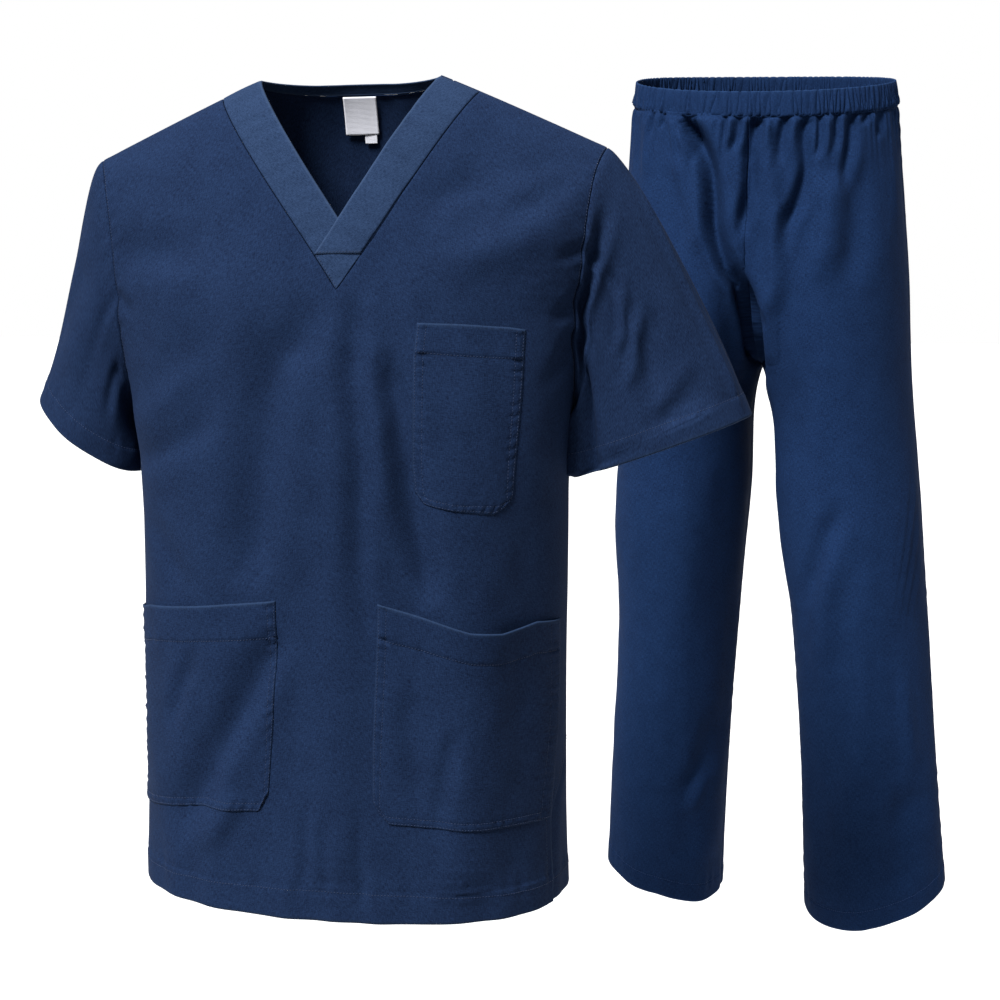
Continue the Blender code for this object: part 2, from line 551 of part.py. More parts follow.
def make_sleeve(name, sleeve, material):
    points, normal = sleeve_grid(sleeve)
    index = np.arange(points.shape[0] * points.shape[1]).reshape(points.shape[:2])
    return add_wall(name, points, points - WALL * normal, grid_faces(index, wrap=True), material)


def band_grid(side, over):
    """A V band between its seam and its edge. The over band stops across the V and rides on top."""
    seam_top = np.array([V_SEAM_X, shoulder_z(V_SEAM_X)])
    edge_top = np.array([NECK_X, 0.0])
    seam_slope = V_SEAM_X / (seam_top[1] - V_SEAM_Z)
    edge_slope = NECK_X / -V_EDGE_Z
    cross_z = (-edge_slope * -V_EDGE_Z - seam_slope * -V_SEAM_Z) / (edge_slope + seam_slope)
    cross_x = (cross_z - V_SEAM_Z) * seam_slope
    seam_low = np.array([cross_x, cross_z]) if over else np.array([0.0, V_SEAM_Z + 2 * SEAM])
    edge_low = np.array([-cross_x + 3 * SEAM, cross_z])
    levels = front_rows()[:NECK_ROWS + 1]
    x = v_seam_x(levels)
    down = 1 - x / V_SEAM_X
    along = (down / down.max())[:, None, None]
    across = np.linspace(0, 1, BAND_ACROSS + 1)[None, :, None]
    seam = seam_top + (seam_low - seam_top) * along
    edge = edge_top + (edge_low - edge_top) * along
    flat = seam + (edge - seam) * across
    level = level_at(flat[..., 1], flat[..., 0])
    level[0] = 0
    theta = theta_at(flat[..., 0], level)
    points, outward = torso_cloth(side * theta, level)
    points[0, :, 1] -= SEAM / 2
    lift = (BAND_WALL + 2 * SEAM) * smooth_step(0.45, 0.75, along[..., 0]) if over else 0.0
    points = points + outward * np.broadcast_to(lift, points.shape[:2])[..., None]
    return points, outward


def make_band(name, side, over, material):
    points, outward = band_grid(side, over)
    index = np.arange(points.shape[0] * points.shape[1]).reshape(points.shape[:2])
    return add_wall(name, points, points - BAND_WALL * outward, grid_faces(index), material)


def make_back_band(material):
    """The narrow band round the back of the neck, from shoulder to shoulder."""
    angle = np.linspace(-np.pi / 2, np.pi / 2, 2 * BACK_NECK_ROWS + 1)[:, None]
    across = np.linspace(0, 1, 3)[None, :]
    seam_level = float(level_at(BACK_SEAM_Z + SEAM))
    half = BACK_SEAM_X + (NECK_X - BACK_SEAM_X) * across
    low = seam_level + (BACK_EDGE_LEVEL - seam_level) * across
    level = low * np.cos(angle)
    theta = theta_at(half * np.sin(angle), level)
    points, outward = torso_cloth(np.pi - theta, level)
    points[[0, -1], :, 1] += SEAM / 2
    index = np.arange(points.shape[0] * points.shape[1]).reshape(points.shape[:2])
    return add_wall("neck_band_back", points, points - WALL * outward, grid_faces(index), material)


def make_label(name, half_width, top_z, height, shift_x, material):
    """A small plate inside the back of the neck, hanging from the band."""
    x = shift_x + np.linspace(-half_width, half_width, 4)[None, :]
    z = np.linspace(top_z, top_z - height, 4)[:, None]
    x, z = np.broadcast_arrays(x, z)
    level = level_at(z, x)
    points, outward = torso_cloth(np.pi - theta_at(x, level), level)
    outer = points - outward * (WALL + LABEL_ROOM)
    index = np.arange(x.size).reshape(x.shape)
    return add_wall(name, outer, outer - LABEL_WALL * outward, grid_faces(index), material)


# ---- trousers ----
def waist_drop(x, forward, z):
    """How far the waist's slanted top edge lowers a point; forward is 1 at the front and -1 at the back."""
    return (WAIST_DIP * forward + WAIST_LEAN * x) * smooth_step(DIP_FADE_Z, 0, z)


def waist_point(theta, z):
    """The whole waist's ring at height z: theta 0 is the left side and pi/2 the middle front."""
    theta, z = np.broadcast_arrays(theta, z)
    rings = [[table_curve(LEGS[leg], column, z) for column in ("outer", "centre_y", "half_depth", "squareness")]
             for leg in ("left", "right")]
    half_width, centre_y, depth, squareness = np.where(np.cos(theta) >= 0, *rings)
    x = half_width * signed_power(np.cos(theta), 2 / squareness)
    forward = signed_power(np.sin(theta), 2 / squareness)
    return np.stack([x, centre_y - depth * forward, z - waist_drop(x, forward, z)], -1)


def leg_point(leg, theta, z):
    """A leg's ring at height z: theta 0 is the outer side and pi the inner side; x is from the middle."""
    rows, hem = LEGS[leg], HEMS[leg]
    theta, z = np.broadcast_arrays(theta, z)
    outer, inner = table_curve(rows, "outer", z), table_curve(rows, "inner", z)
    power = 2 / table_curve(rows, "squareness", z)
    x = (outer + inner) / 2 + (outer - inner) / 2 * signed_power(np.cos(theta), power)
    forward = signed_power(np.sin(theta), power)
    y = table_curve(rows, "centre_y", z) - table_curve(rows, "half_depth", z) * forward
    waist = waist_drop(x if leg == "left" else -x, forward, z)
    ankle = hem.front * forward - hem.inner * np.cos(theta) - hem.lift
    return np.stack([x, y, z - waist - ankle * smooth_step(CROTCH_Z, LEG_END_Z, z)], -1)


def leg_cut(rows, z):
    """Angle where a leg's ring reaches the middle: pi below the crotch."""
    outer, inner = table_curve(rows, "outer", z), table_curve(rows, "inner", z)
    ratio = np.clip((outer + inner) / (outer - inner), 0, 1)
    return np.pi - np.arccos(ratio ** (table_curve(rows, "squareness", z) / 2))


def leg_grid(leg, face):
    """Half of a leg: columns from the outer seam to the middle or the inner seam. face -1 is the front."""
    rows = LEGS[leg]
    side = 1 if leg == "left" else -1
    top = -WAISTBAND_HEIGHT - SEAM
    hip = top + (CROTCH_Z - top) * np.linspace(0, 1, HIP_ROWS, endpoint=False) ** 0.85
    z = np.concatenate([hip, np.linspace(CROTCH_Z, LEG_END_Z, LEG_ROWS + 1)])[:, None]
    theta = leg_cut(rows, z) * np.linspace(0, 1, LEG_COLUMNS + 1)
    points = leg_point(leg, -face * theta, z)
    outward = normals_of(partial(leg_point, leg), -face * theta, z)
    points[..., 0] *= side
    outward[..., 0] *= side
    table = TROUSER_FRONT_FOLDS if face < 0 else TROUSER_BACK_FOLDS
    folds = fold_depth(table, points[..., 0], points[..., 2])
    folds *= smooth_step(0, 0.35, theta) * smooth_step(0, 0.35, np.pi - theta)
    waves = np.sin(2 * np.pi * SOFT_GATHERS * theta / (np.pi / 2))
    folds += SOFT_GATHER_DEPTH * waves * np.exp((z - top) / SOFT_GATHER_LENGTH)
    points = points - outward * folds[..., None]
    in_middle = z[:, 0] > CROTCH_Z + 1e-6
    points[in_middle, -1, 0] = side * SEAM / 2
    points[:, 0, 1] += face * SEAM / 2
    points[~in_middle, -1, 1] += face * SEAM / 2
    return points, outward


def make_leg(name, leg, face, material, parent):
    points, outward = leg_grid(leg, face)
    index = np.arange(points.shape[0] * points.shape[1]).reshape(points.shape[:2])
    return add_wall(name, points, points - WALL * outward, grid_faces(index), material, parent)


def make_waistband(material, parent):
    """A tube gathered over its elastic: one wave of cloth for each gather."""
    angle = np.linspace(0, 2 * np.pi, 2 * GATHERS, endpoint=False)[None, :]
    z = np.linspace(0, -WAISTBAND_HEIGHT, 3)[:, None]
    outward = normals_of(waist_point, angle, z)
    wave = np.where(np.arange(2 * GATHERS) % 2, 1, -1) * GATHER_DEPTH / 2
    points = waist_point(angle, z) + outward * wave[None, :, None]
    index = np.arange(points.shape[0] * points.shape[1]).reshape(points.shape[:2])
    inner = points - outward * ELASTIC_WALL
    return add_wall("waistband", points, inner, grid_faces(index, wrap=True), material, parent)


# ---- materials ----
def make_material(name, colour, roughness):
    material = bpy.data.materials.new(name)
    material.use_nodes = True
    shader = material.node_tree.nodes["Principled BSDF"]
    shader.inputs["Base Color"].default_value = (*colour, 1)
    shader.inputs["Roughness"].default_value = roughness
    shader.inputs["Metallic"].default_value = 0
    return material


def make_tunic():
    cloth = make_material("tunic_cloth", (0.018, 0.036, 0.088), 0.85)
    band_cloth = make_material("tunic_band_cloth", (0.022, 0.042, 0.098), 0.85)
    woven = make_material("label_weave", (0.43, 0.43, 0.53), 0.7)
    make_panel("front", front_grid, NECK_ROWS, cloth)
    make_panel("back", back_grid, BACK_NECK_ROWS, cloth)
    for name, sleeve in SLEEVES.items():
        make_sleeve(name, sleeve, cloth)
    make_band("neck_band_left", 1, True, band_cloth)
    make_band("neck_band_right", -1, False, band_cloth)
    make_back_band(band_cloth)
    for name, pocket in POCKETS.items():
        make_pocket(name, pocket, cloth)
    label_top = BACK_SEAM_Z - SEAM
    make_label("label", LABEL_HALF_WIDTH, label_top, LABEL_HEIGHT, 0.0, woven)
    tab_x = LABEL_HALF_WIDTH / 2
    make_label("size_tab", TAB_HALF_WIDTH, label_top - LABEL_HEIGHT - SEAM, TAB_HEIGHT, tab_x, woven)


def make_trousers():
    cloth = make_material("trouser_cloth", (0.014, 0.034, 0.100), 0.85)
    place = bpy.data.objects.new("trousers_place", None)
    place.location = TROUSERS_AT
    place.rotation_euler = (0, 0, TROUSERS_TURN)
    bpy.data.collections[COLLECTION].objects.link(place)
    for face_name, face in (("front", -1), ("back", 1)):
        for leg in LEGS:
            make_leg(f"trouser_{face_name}_{leg}", leg, face, cloth, place)
    make_waistband(cloth, place)


def main():
    for old in list(bpy.data.objects):
        bpy.data.objects.remove(old)
    collection = bpy.data.collections.new(COLLECTION)
    bpy.context.scene.collection.children.link(collection)
    make_tunic()
    make_trousers()


main()
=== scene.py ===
# %% [markdown]
# # Medical scrubs: a V-neck tunic and elasticated trousers
# Hospital scrubs are cut from plain poly-cotton and sewn with few, flat seams, so that they survive
# boil washing. This lesson dresses a set of thin solids with finer cloth. Each panel of cloth could be
# simulated, but a simulation cannot be told where each crease goes. Here every panel is a surface of
# two parameters, and its creases are placed one by one.

# %% Load the frame
from collections import namedtuple

import bpy
import numpy as np
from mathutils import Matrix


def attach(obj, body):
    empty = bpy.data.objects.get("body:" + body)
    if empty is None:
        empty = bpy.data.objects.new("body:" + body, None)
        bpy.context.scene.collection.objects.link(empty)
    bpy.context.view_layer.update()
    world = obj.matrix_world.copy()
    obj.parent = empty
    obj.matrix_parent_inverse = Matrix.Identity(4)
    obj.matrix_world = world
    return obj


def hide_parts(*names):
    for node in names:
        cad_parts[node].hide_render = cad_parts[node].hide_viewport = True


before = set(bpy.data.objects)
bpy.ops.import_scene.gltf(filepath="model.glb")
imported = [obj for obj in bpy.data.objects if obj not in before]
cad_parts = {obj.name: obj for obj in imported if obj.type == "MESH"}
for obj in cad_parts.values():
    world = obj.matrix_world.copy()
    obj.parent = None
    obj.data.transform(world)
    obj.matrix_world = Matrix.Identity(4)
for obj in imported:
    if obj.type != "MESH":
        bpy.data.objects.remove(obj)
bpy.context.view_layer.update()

# %% [markdown]
# ## The camera
# The set is seen from a little to the wearer's left, from the height of the chest and looking slightly
# down, with a long lens. Metres, Z up; the front faces -Y and +X is the wearer's left.

# %% The camera
camera_data = bpy.data.cameras.new("camera")
camera_data.lens, camera_data.sensor_width = 68.364, 36
camera = bpy.data.objects.new("camera", camera_data)
camera.location = (0.3547, -1.8092, -0.1461)
camera.rotation_euler = np.radians([90 - 8, 0, 6.7])
bpy.context.scene.collection.objects.link(camera)
bpy.context.scene.camera = camera
print("view angle:", round(float(np.degrees(camera_data.angle)), 1), "degrees")

# %% [markdown]
# ## Curves
# Garments are full of soft curves given by a few fitted numbers. These helpers turn a short table into
# a smooth curve, and a few points into a smooth line.

# %% Curves
def signed_power(value, exponent):
    """The power of a number's size, with the number's sign kept."""
    return np.sign(value) * np.abs(value) ** exponent


def smooth_step(low, high, value):
    """0 below low and 1 above high, with the curve 3t² - 2t³ between."""
    t = np.clip((value - low) / (high - low), 0, 1)
    return t * t * (3 - 2 * t)


def bell(distance, width):
    return np.exp(-((distance / width) ** 2))


def cubic(t, start, start_slope, end, end_slope):
    """From start to end as t goes from 0 to 1, with the given slopes there."""
    return ((2 * t**3 - 3 * t**2 + 1) * start + (t**3 - 2 * t**2 + t) * start_slope
            + (3 * t**2 - 2 * t**3) * end + (t**3 - t**2) * end_slope)


def table_curve(rows, column, at):
    """A table column at any height: cubics between its rows, with averaged slopes."""
    z = np.array([row.z for row in rows])[::-1]
    value = np.array([getattr(row, column) for row in rows])[::-1]
    slope = np.gradient(value, z)
    at = np.clip(at, z[0], z[-1])
    i = np.clip(np.searchsorted(z, at, side="right") - 1, 0, len(z) - 2)
    span = z[i + 1] - z[i]
    return cubic((at - z[i]) / span, value[i], span * slope[i], value[i + 1], span * slope[i + 1])


def smooth_line(points, count=60):
    """A curve through all the points: between two of them, a cubic with the slopes of its neighbours."""
    points = np.asarray(points, float)
    slope = np.gradient(points, axis=0)
    at = np.linspace(0, len(points) - 1, count)
    i = np.minimum(at.astype(int), len(points) - 2)
    return cubic((at - i)[:, None], points[i], slope[i], points[i + 1], slope[i + 1])


def run_of(points, axis=0):
    """Distance run along an axis of a grid of points, from its first point."""
    step = np.linalg.norm(np.diff(points, axis=axis), axis=-1)
    first = np.zeros_like(np.take(step, [0], axis=axis))
    return np.concatenate([first, np.cumsum(step, axis=axis)], axis=axis)


def paced(values, run, coarse, fine=0.0, stops=(), reach=0.003):
    """Parameter values about coarse apart in metres, closing up to fine apart around each stop."""
    s = np.linspace(run[0], run[-1], 6000)
    step = np.full_like(s, coarse)
    for stop in stops:
        step = np.minimum(step, fine + (coarse - fine) * (1 - bell(s - stop, reach)))
    count = np.concatenate([[0], np.cumsum(np.diff(s) / step[1:])])
    places = np.interp(np.linspace(0, count[-1], int(round(count[-1])) + 1), count, s)
    return np.interp(places, run, values)


def paced_shares(length, *pace):
    """Shares of a straight length, from 0 to 1, paced in the same way."""
    return paced(np.array([0.0, 1.0]), np.array([0.0, length]), *pace)


def columns_at(places, run, table):
    """Every column of a table, read at places of its run."""
    return np.stack([np.interp(places, run, column) for column in table.T], -1)


def numbered(points):
    """The vertex numbers of a grid of points."""
    return np.arange(points[..., 0].size).reshape(points.shape[:-1])


def unit(vectors):
    return vectors / np.linalg.norm(vectors, axis=-1, keepdims=True)


def normals_of(surface, a, b, step=1e-4):
    """Unit normals of a surface of two parameters, from its slopes along both."""
    along_a = surface(a + step, b) - surface(a - step, b)
    along_b = surface(a, b + step) - surface(a, b - step)
    return unit(np.cross(along_b, along_a))


# %% [markdown]
# ## Creases
# A crease in hanging cloth is a soft trough with a low ridge on both sides, because the cloth pushed
# in has to come from somewhere. Each one follows a bent line with its own depth and width, steeper on
# one side when it leans, and fades out where nothing pulls any more. On top of them the whole cloth is
# faintly uneven, as cotton is after a wash.

# %% Creases
# A Fold's depth, width and path are in metres; a negative depth is a ridge. start and end are the
# shares of the path over which the crease fades in and out.
Fold = namedtuple("Fold", "depth width lean start end path")


def mm(*points):
    """Points given in millimetres, in metres."""
    return np.array(points) / 1000


def folds(*rows):
    """Creases from rows of depth and width in mm, lean, start and end in hundredths, and the path's
    points in mm."""
    return [Fold(depth / 1000, width / 1000, lean / 100, start / 100, end / 100, mm(*path))
            for depth, width, lean, start, end, *path in rows]


def fold_relief(table, x, z):
    """Sum of the creases, seen from the front. Across its line a crease is (1 - 0.8 q²) exp(-0.65 q²),
    where q is the distance over the width."""
    x, z = np.broadcast_arrays(x, z)
    total = np.zeros(x.shape)
    for fold in table:
        line = smooth_line(fold.path)
        reach = 3.2 * fold.width
        low, high = line.min(axis=0) - reach, line.max(axis=0) + reach
        near = (x > low[0]) & (x < high[0]) & (z > low[1]) & (z < high[1])
        offset = np.stack([x[near], z[near]], -1)[:, None] - line
        away = np.linalg.norm(offset, axis=-1)
        nearest = away.argmin(axis=-1)
        tangent = np.gradient(line, axis=0)[nearest]
        off = offset[np.arange(len(nearest)), nearest]
        side = np.tanh((tangent[:, 0] * off[:, 1] - tangent[:, 1] * off[:, 0])
                       / (np.linalg.norm(tangent, axis=-1) * 0.5 * fold.width))
        q = away.min(axis=-1) / (fold.width * (1 + fold.lean * side))
        along = nearest / (len(line) - 1)
        fade = smooth_step(-0.02, fold.start, along) * smooth_step(-0.02, fold.end, 1 - along)
        total[near] += fold.depth * fade * (1 - 0.8 * q * q) * np.exp(-0.65 * q * q)
    return total


def waves(seed, across, along, x, z, count=12):
    """A gentle unevenness about 1 high: a sum of sine waves in seeded directions, with the usual
    wavelengths across and along."""
    dice = np.random.default_rng(seed)
    total = np.zeros(np.broadcast(x, z).shape)
    for kx, kz, phase in zip(dice.normal(0, 4.5 / across, count), dice.normal(0, 4.5 / along, count),
                             dice.uniform(0, 6.28, count)):
        total += np.sin(kx * x + kz * z + phase)
    return total / np.sqrt(count / 2)


def ripple(seed, length, run, count=5):
    """A wavy line of about one wavelength, never quite regular."""
    dice = np.random.default_rng(seed)
    total = 0.0
    for share, phase in zip(dice.uniform(0.7, 1.4, count), dice.uniform(0, 6.28, count)):
        total = total + np.sin(2 * np.pi * run * share / length + phase)
    return total / np.sqrt(count / 2)


def pucker(seed, depth, length, run, distance, reach):
    """Short waves along a stitched line, which die out within reach on both sides of it."""
    return depth * ripple(seed, length, run) * bell(distance, reach)


# %% [markdown]
# ## The tunic's form
# A body in a loose tunic is a rounded box below the chest and narrows to the two shoulder lines above
# it. One function gives the whole form: theta goes round it, 0 at the middle front and ±pi/2 at the
# sides, and level goes down it, 0 at the shoulders, 1 at the chest and 2 at the hem.

# %% Sizes of the tunic's form
NECK_X = 0.086
SHOULDER_SLOPE = np.tan(np.radians(25.5))
NECK_ROUND = 0.050
RIDGE_TOP = SHOULDER_SLOPE * (np.hypot(NECK_X, NECK_ROUND) - NECK_ROUND)
SHOULDER_LEAN, HEM_LEAN, NECK_SHIFT, HEM_SHIFT, ROW_DROOP = 0.020, 0.028, 0.006, 0.0012, 0.022
CHEST_Z, UNDERARM_Z, HEM_Z, LOW_POCKET_TOP = -0.395, -0.315, -0.779, -0.487
TOP_WIDTH, CHEST_WIDTH = 0.286, 0.208
ARMHOLE_CUT = np.radians(34)
FRONT_ROUND, BACK_ROUND, DROP_ROUND = 1.2, 0.95, 1.25
BodyRow = namedtuple("BodyRow", "z half_width front_depth back_depth squareness")
BODY = [
    BodyRow(CHEST_Z, CHEST_WIDTH, 0.138, 0.112, 2.35),
    BodyRow(-0.520, 0.206, 0.141, 0.114, 2.45),
    BodyRow(-0.650, 0.206, 0.145, 0.118, 2.5),
    BodyRow(HEM_Z, 0.208, 0.149, 0.122, 2.45),
]
V_SEAM_X, V_SEAM_Z, V_EDGE_Z = 0.124, -0.197, -0.132
BACK_SEAM_X, BACK_SEAM_Z, BACK_BAND_HEIGHT = 0.098, -0.0135, 0.0105
VENT_TOP_Z, VENT_FULL_Z = -0.610, -0.680
VENT_FRONT, VENT_LAP, VENT_LAP_REACH = np.radians(17), np.radians(3), np.radians(8)
VENT_LAP_START, VENT_LAP_DEPTH = 0.3, 0.0030
HEM_NORMAL_LEVEL = 1.98    # the last rows point the way this one does


# %% The tunic's form
def shoulder_run(x):
    """How far out along the shoulder line x is, rounded over the neck."""
    return np.hypot(x, NECK_ROUND) - NECK_ROUND


def torso(theta, level):
    """Ovals of changing squareness, stacked from the hem to the chest and closing to the shoulders."""
    theta, level = np.broadcast_arrays(theta, level)
    phi = np.minimum(level, 1) * np.pi / 2
    low_z = CHEST_Z + np.maximum(level - 1, 0) * (HEM_Z - CHEST_Z)
    power = 2 / table_curve(BODY, "squareness", low_z)
    width = table_curve(BODY, "half_width", low_z) + (TOP_WIDTH - CHEST_WIDTH) * np.cos(phi) ** 2
    is_front = np.cos(theta) >= 0
    depth = np.where(is_front, table_curve(BODY, "front_depth", low_z),
                     table_curve(BODY, "back_depth", low_z))
    depth = depth * signed_power(np.sin(phi), np.where(is_front, FRONT_ROUND, BACK_ROUND))
    drop = np.cos(phi) ** DROP_ROUND
    x = width * signed_power(np.sin(theta), power)
    y = -depth * signed_power(np.cos(theta), power)
    z = low_z + (RIDGE_TOP - CHEST_Z) * drop - SHOULDER_SLOPE * shoulder_run(x) * drop**2
    return np.stack([x, y, z - droop_of(theta, level)], -1)


def droop_of(theta, level):
    """How far a row hangs down at the sides: most halfway between chest and hem, 0 at both."""
    return ROW_DROOP * np.sin(np.pi * np.clip(level - 1, 0, 1)) ** 0.7 * np.abs(np.sin(theta)) ** 1.2


def hang(points):
    """The small unevenness of a worn tunic: one shoulder higher, the neck and the hem swung aside."""
    x, y, z = points[..., 0], points[..., 1], points[..., 2]
    high, low = smooth_step(CHEST_Z, -0.05, z), smooth_step(CHEST_Z, HEM_Z, z)
    by_neck = smooth_step(0.2, 0, np.abs(x)) * smooth_step(0, -0.07, y)
    by_neck = by_neck * bell(z + 0.17, 0.1)
    shift = NECK_SHIFT * by_neck + HEM_SHIFT * smooth_step(UNDERARM_Z, LOW_POCKET_TOP, z)
    return np.stack([x + shift, y, z + x * (SHOULDER_LEAN * high - HEM_LEAN * low)], -1)


def level_at(z, x=0.0):
    """Level of the row that passes height z at distance x from the middle, above the chest."""
    a, b, c = -SHOULDER_SLOPE * shoulder_run(x), RIDGE_TOP - CHEST_Z, CHEST_Z - z
    flat = np.abs(a) < 1e-9
    a = np.where(flat, 1, a)
    drop = np.where(flat, -c / b, (-b + np.sqrt(np.maximum(b * b - 4 * a * c, 0))) / (2 * a))
    return 2 / np.pi * np.arccos(np.clip(drop, 0, 1) ** (1 / DROP_ROUND))


def low_level(z):
    return 1 + (z - CHEST_Z) / (HEM_Z - CHEST_Z)


def theta_at(x, level):
    """Angle from the middle where a row above the chest reaches x."""
    width = CHEST_WIDTH + (TOP_WIDTH - CHEST_WIDTH) * np.cos(np.minimum(level, 1) * np.pi / 2) ** 2
    return np.arcsin(signed_power(np.clip(x / width, -1, 1), BODY[0].squareness / 2))


def place_of(x, z, tries=25):
    """Theta and level of the front's point that is seen at x and z, by repeated correction."""
    x, z = np.broadcast_arrays(np.asarray(x, float), np.asarray(z, float))
    flat_x, flat_z, theta, level = x.copy(), z.copy(), np.zeros(x.shape), np.ones(x.shape)
    for _ in range(tries):
        above = flat_z > CHEST_Z
        low = np.maximum(low_level(flat_z + droop_of(theta, level)), 1)
        level = np.where(above, level_at(flat_z, flat_x), low)
        low_z = CHEST_Z + np.maximum(level - 1, 0) * (HEM_Z - CHEST_Z)
        share = np.clip(flat_x / table_curve(BODY, "half_width", low_z), -1, 1)
        low_theta = np.arcsin(signed_power(share, table_curve(BODY, "squareness", low_z) / 2))
        theta = np.where(above, theta_at(flat_x, level), low_theta)
        seen = hang(torso(theta, level))
        flat_x = flat_x + x - seen[..., 0]
        flat_z = flat_z + z - seen[..., 2]
    return theta, level


UNDERARM_LEVEL = float(level_at(UNDERARM_Z, CHEST_WIDTH))
V_SEAM_LEVEL = float(level_at(V_SEAM_Z))
BACK_SEAM_LEVEL = float(level_at(BACK_SEAM_Z))
BACK_EDGE_LEVEL = float(level_at(BACK_SEAM_Z + BACK_BAND_HEIGHT))
print("form: levels of underarm", round(UNDERARM_LEVEL, 3), "and V", round(V_SEAM_LEVEL, 3))


# %% [markdown]
# ## Where the tunic creases
# The front hangs from the shoulders and the neckband, so its long creases fan out from the point of
# the V. Short ones pull towards the armholes, and others run on from the pockets to the hem. The back
# hangs from the shoulder blades.

# %% The tunic's creases
FRONT_FOLDS = folds(
    (10, 25, -15, 30, 12, (-6, -192), (-30, -238), (-46, -262), (-56, -296), (-66, -388), (-74, -476)),
    (-4.6, 30, 0, 30, 8, (8, -250), (9, -340), (9, -477), (4, -616), (-1, -765)),
    (6.8, 13, -15, 20, 30, (14, -200), (20, -236), (25, -296), (30, -364), (29, -450), (38, -541)),
    (8.8, 14, -15, 20, 15, (48, -246), (63, -297), (75, -358), (83, -413), (97, -485)),
    (4, 20, 10, 25, 35, (-222, -166), (-180, -163), (-118, -166)),
    (-9.5, 50, 0, 30, 45, (186, -85), (192, -150), (186, -225)),
    (-6, 50, 0, 35, 35, (60, -176), (120, -168), (190, -160)),
    (-6, 50, 0, 35, 35, (-200, -200), (-120, -206), (-60, -216)),
    (3.6, 17, 10, 35, 35, (72, -126), (107, -110), (140, -100)),
    (-3.8, 19, 0, 15, 45, (213, -140), (169, -156), (126, -168), (84, -180)),
    (2.8, 13, 0, 20, 40, (214, -105), (186, -120), (148, -138)),
    (-6.4, 30, 10, 25, 8, (116, -330), (122, -440), (124, -580), (122, -765)),
    (2.2, 22, 0, 25, 10, (172, -395), (174, -580), (172, -765)),
    (8.2, 18, -15, 12, 15, (-48, -505), (-72, -561), (-89, -593), (-110, -629), (-122, -655),
     (-164, -724)),
    (3.2, 9, 0, 30, 40, (-128, -528), (-147, -576), (-160, -622)),
    (-4.2, 12, 0, 30, 40, (-86, -660), (-104, -692), (-128, -732)),
    (1.6, 6, 0, 35, 20, (-22, -660), (-24, -752)),
    (1.4, 6, 0, 35, 20, (-5, -672), (-3, -757)),
    (1.8, 8, 0, 35, 20, (25, -662), (31, -765)),
    (-3.6, 18, 0, 25, 40, (-212, -330), (-152, -294), (-96, -246)),
    (3.2, 14, 0, 25, 40, (-211, -366), (-146, -339), (-96, -302)),
    (2.4, 13, 0, 30, 40, (-192, -404), (-160, -444), (-142, -489)),
    (2.8, 7, 0, 10, 50, (229, -162), (214, -167), (196, -176)),
    (3.4, 8, 0, 10, 50, (226, -200), (212, -218), (194, -230)),
    (2.8, 8, 0, 10, 50, (222, -236), (206, -266), (192, -296)),
    (2.2, 8, 0, 10, 50, (-226, -194), (-208, -212), (-190, -220)),
    (-2.4, 10, 0, 20, 40, (46, -300), (52, -372), (60, -450)),
    (3, 12, 0, 20, 40, (70, -560), (76, -630), (96, -690)),
    (2.8, 9, 0, 20, 40, (114, -590), (104, -650), (98, -706)),
)
BACK_FOLDS = folds(
    (7, 26, 15, 30, 8, (-35, -170), (-66, -400), (-60, -740)),
    (7.2, 24, -15, 30, 8, (50, -190), (80, -420), (92, -750)),
    (-4.8, 32, 0, 30, 8, (6, -230), (10, -480), (18, -765)),
    (4.5, 20, 0, 20, 40, (-200, -156), (-120, -142), (-50, -164)),
    (4.5, 18, 0, 20, 40, (205, -168), (120, -146), (45, -152)),
    (4.5, 22, 0, 30, 10, (-146, -380), (-138, -560), (-146, -765)),
    (4, 18, 0, 30, 15, (150, -410), (156, -560), (142, -760)),
    (-3.5, 16, 0, 30, 40, (-206, -300), (-150, -330), (-96, -392)),
    (3, 14, 0, 30, 40, (208, -290), (160, -330), (116, -380)),
    (3, 12, 0, 30, 40, (-26, -540), (-30, -640), (-18, -745)),
)


def torso_cloth(theta, level):
    """Points of the creased cloth on the form, and its outward directions. The creases fade to
    nothing at the side seams, where front and back meet."""
    theta, level = np.broadcast_arrays(theta, np.clip(level, 2e-4, 2 - 2e-4))
    base = torso(theta, level)
    outward = normals_of(torso, theta, np.minimum(level, HEM_NORMAL_LEVEL))
    x, z = base[..., 0], base[..., 2]
    is_front = np.cos(theta) >= 0
    relief = 0
    for table, seed, this_side in ((FRONT_FOLDS, 3, is_front), (BACK_FOLDS, 4, ~is_front)):
        whole = fold_relief(table, x, z) + 0.0006 * waves(seed, 0.10, 0.24, x, z)
        relief = relief + this_side * (whole + 0.00022 * waves(seed + 2, 0.034, 0.075, x, z))
    relief = relief * smooth_step(0, 0.3, np.abs(np.cos(theta))) * smooth_step(0.05, 0.35, level)
    return hang(base - outward * relief[..., None]), outward


# %% [markdown]
# ## Cloth from a grid
# A panel is a grid of points. It gets a second layer with Solidify, so that hems have an edge and the
# inside of the neck shows cloth. Its UV map is in metres along the threads. Where two panels are sewn
# together, or a hem is folded, the cloth rolls over a small round edge: that roll is what makes a seam
# read as a fine dark line. An attribute is 1 on such edges, which are painted lighter: partly for the
# dye that washing rubs off, partly as a painted highlight where the rolled edge catches the light.

# %% Cloth helpers
CLOTH = 0.0011    # poplin is 0.3 mm thick; it is drawn thicker, so that edges show
EDGE_ROUND = 0.0016    # how tightly a sewn edge turns
FINE_STEP = 0.0010    # between rows or columns beside a seam or a hem
HEM_THICK, HEM_STEP = 0.0005, 0.0015    # how far a hem stands out, and half the width of its step


def grid_quads(index, wrap=False):
    """Quads between neighbours of a grid of vertex numbers; wrap joins the last column to the first."""
    if wrap:
        index = np.concatenate([index, index[:, :1]], axis=1)
    return np.stack([index[:-1, :-1], index[:-1, 1:], index[1:, 1:], index[1:, :-1]], -1).reshape(-1, 4)


